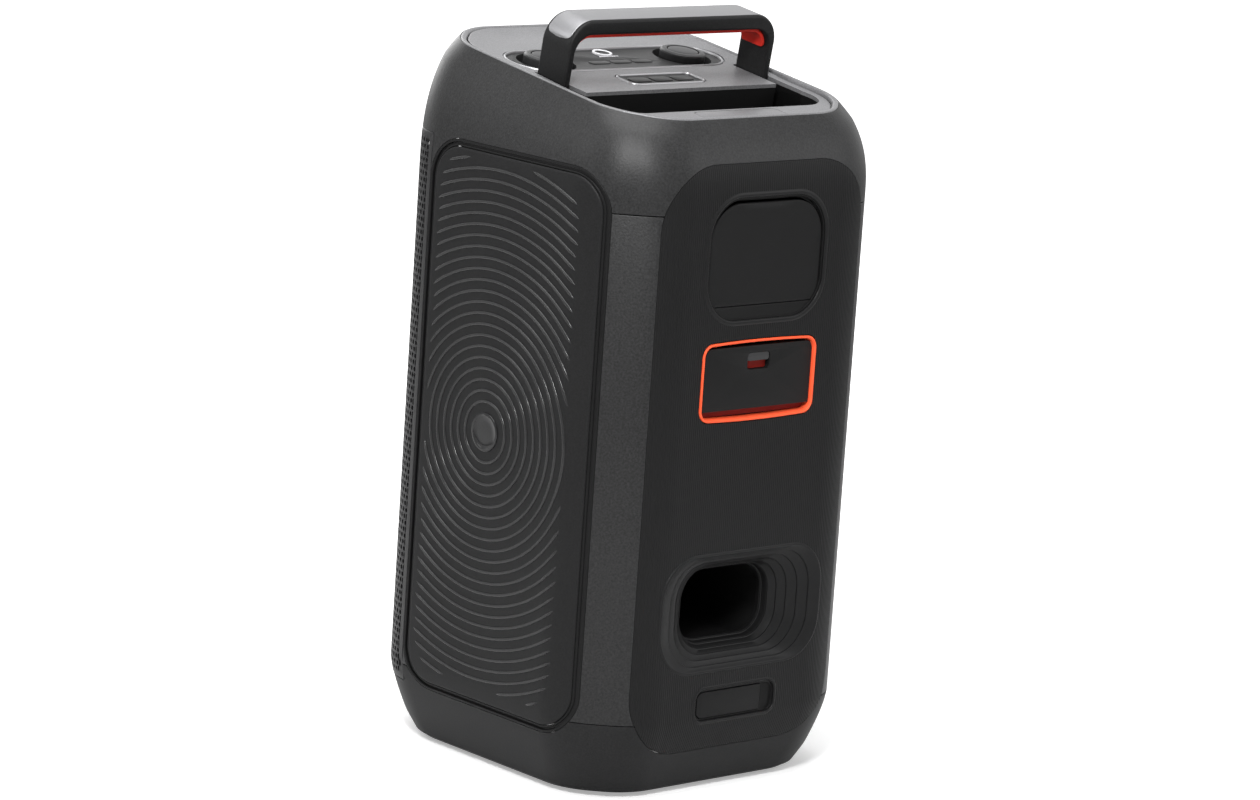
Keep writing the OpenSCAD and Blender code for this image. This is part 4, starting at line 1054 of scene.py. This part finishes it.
def placeCamera():
    # looks back along azimuth and elevation at a point over the footprint, turned by the roll
    az, el, roll = (math.radians(view[k]) for k in ("azimuth", "elevation", "roll"))
    back = Vector((math.sin(az) * math.cos(el), -math.cos(az) * math.cos(el), math.sin(el)))
    right = Vector((math.cos(az), math.sin(az), 0))
    up = back.cross(right)
    across = math.cos(roll) * right + math.sin(roll) * up
    upward = -math.sin(roll) * right + math.cos(roll) * up
    data = bpy.data.cameras.new("camera")
    data.sensor_width = 36.0
    data.lens = view["focal"] / view["width"] * data.sensor_width
    data.shift_x, data.shift_y = view["shiftX"] / view["width"], view["shiftY"] / view["width"]
    data.clip_end = 50
    camera = bpy.data.objects.new("camera", data)
    place = Vector((0, 0, view["target"])) + back * view["distance"]
    camera.matrix_world = Matrix((
        (across.x, upward.x, back.x, place.x), (across.y, upward.y, back.y, place.y),
        (across.z, upward.z, back.z, place.z), (0, 0, 0, 1)))
    bpy.context.scene.collection.objects.link(camera)
    bpy.context.scene.camera = camera


def areaLight(name, place, target, wide, power, tall):
    data = bpy.data.lights.new(name, "AREA")
    data.shape = "RECTANGLE"
    data.size, data.size_y, data.energy = wide, tall, power
    lamp = bpy.data.objects.new(name, data)
    lamp.location = place
    lamp.rotation_euler = (Vector(target) - Vector(place)).to_track_quat("-Z", "Y").to_euler()
    bpy.context.scene.collection.objects.link(lamp)


def makeFloor():
    # a pale floor that fades to the white of the backdrop
    n = 64
    turn = np.linspace(0, 2 * math.pi, n, endpoint=False)
    rings = [np.column_stack([r * np.cos(turn), r * np.sin(turn), np.zeros(n)]) for r in (1, 400, 1500, 4000, 12000)]
    piece = makePiece("floor", np.concatenate(rings), [gridFaces(n, 5, True), np.arange(n)[None, :]])
    finish = Finish("floorPale", Roughness=0.9)
    finish.shader.inputs["Base Color"].default_value = (0.84, 0.84, 0.84, 1)
    finish.shader.inputs["Emission Strength"].default_value = 1.0
    direct = finish.add("ShaderNodeLightPath", {}, {}, "Is Camera Ray")
    far = finish.add("ShaderNodeVectorMath", {"operation": "LENGTH"}, {0: finish.place}, "Value")
    finish.feed("Emission Color", finish.blendColour(direct * (0.3 + far * 0.45), (0, 0, 0), (1, 1, 1)))
    piece.data.materials.append(finish.material)


def makeWorld():
    # soft grey light for the object, plain white where the camera, mirrors and glass look past it
    world = bpy.data.worlds.new("studio")
    bpy.context.scene.world = world
    world.use_nodes = True
    tree = world.node_tree
    tree.nodes.clear()
    path = tree.nodes.new("ShaderNodeLightPath")
    direct = Link(tree, path.outputs["Is Camera Ray"])
    seen = direct + Link(tree, path.outputs["Is Glossy Ray"]) + Link(tree, path.outputs["Is Transmission Ray"])
    glow = tree.nodes.new("ShaderNodeBackground")
    glow.inputs["Color"].default_value = (1, 1, 1, 1)
    tree.links.new((0.3 + seen * 0.7).socket, glow.inputs["Strength"])
    out = tree.nodes.new("ShaderNodeOutputWorld")
    tree.links.new(glow.outputs[0], out.inputs["Surface"])


placeCamera()
makeFloor()
makeWorld()
# place, target, width, power and height of each lamp
lamps = dict(
    overhead=((0.3, 0.1, 2.3), (0, 0, 0.4), 1.5, 46, 1.5),
    cornerStrip=((1.45, 1.25, 1.75), (0.1, 0.1, 0.45), 0.32, 46, 0.55),
    sideFill=((2.2, -1.2, 1.6), (0, 0, 0.3), 1.2, 12, 1.2), rearFill=((-1.6, 1.8, 1.4), (0, 0, 0.3), 1.0, 9, 1.0),
    frontFill=((-0.6, -2.4, 1.2), (0, 0, 0.3), 1.6, 22, 1.6))
for name, values in lamps.items():
    areaLight(name, *values)
bpy.context.scene.view_settings.view_transform = "Standard"
print("stage: camera and light")


def corners(bounds):
    return [[float(value) for value in corner] for corner in bounds]
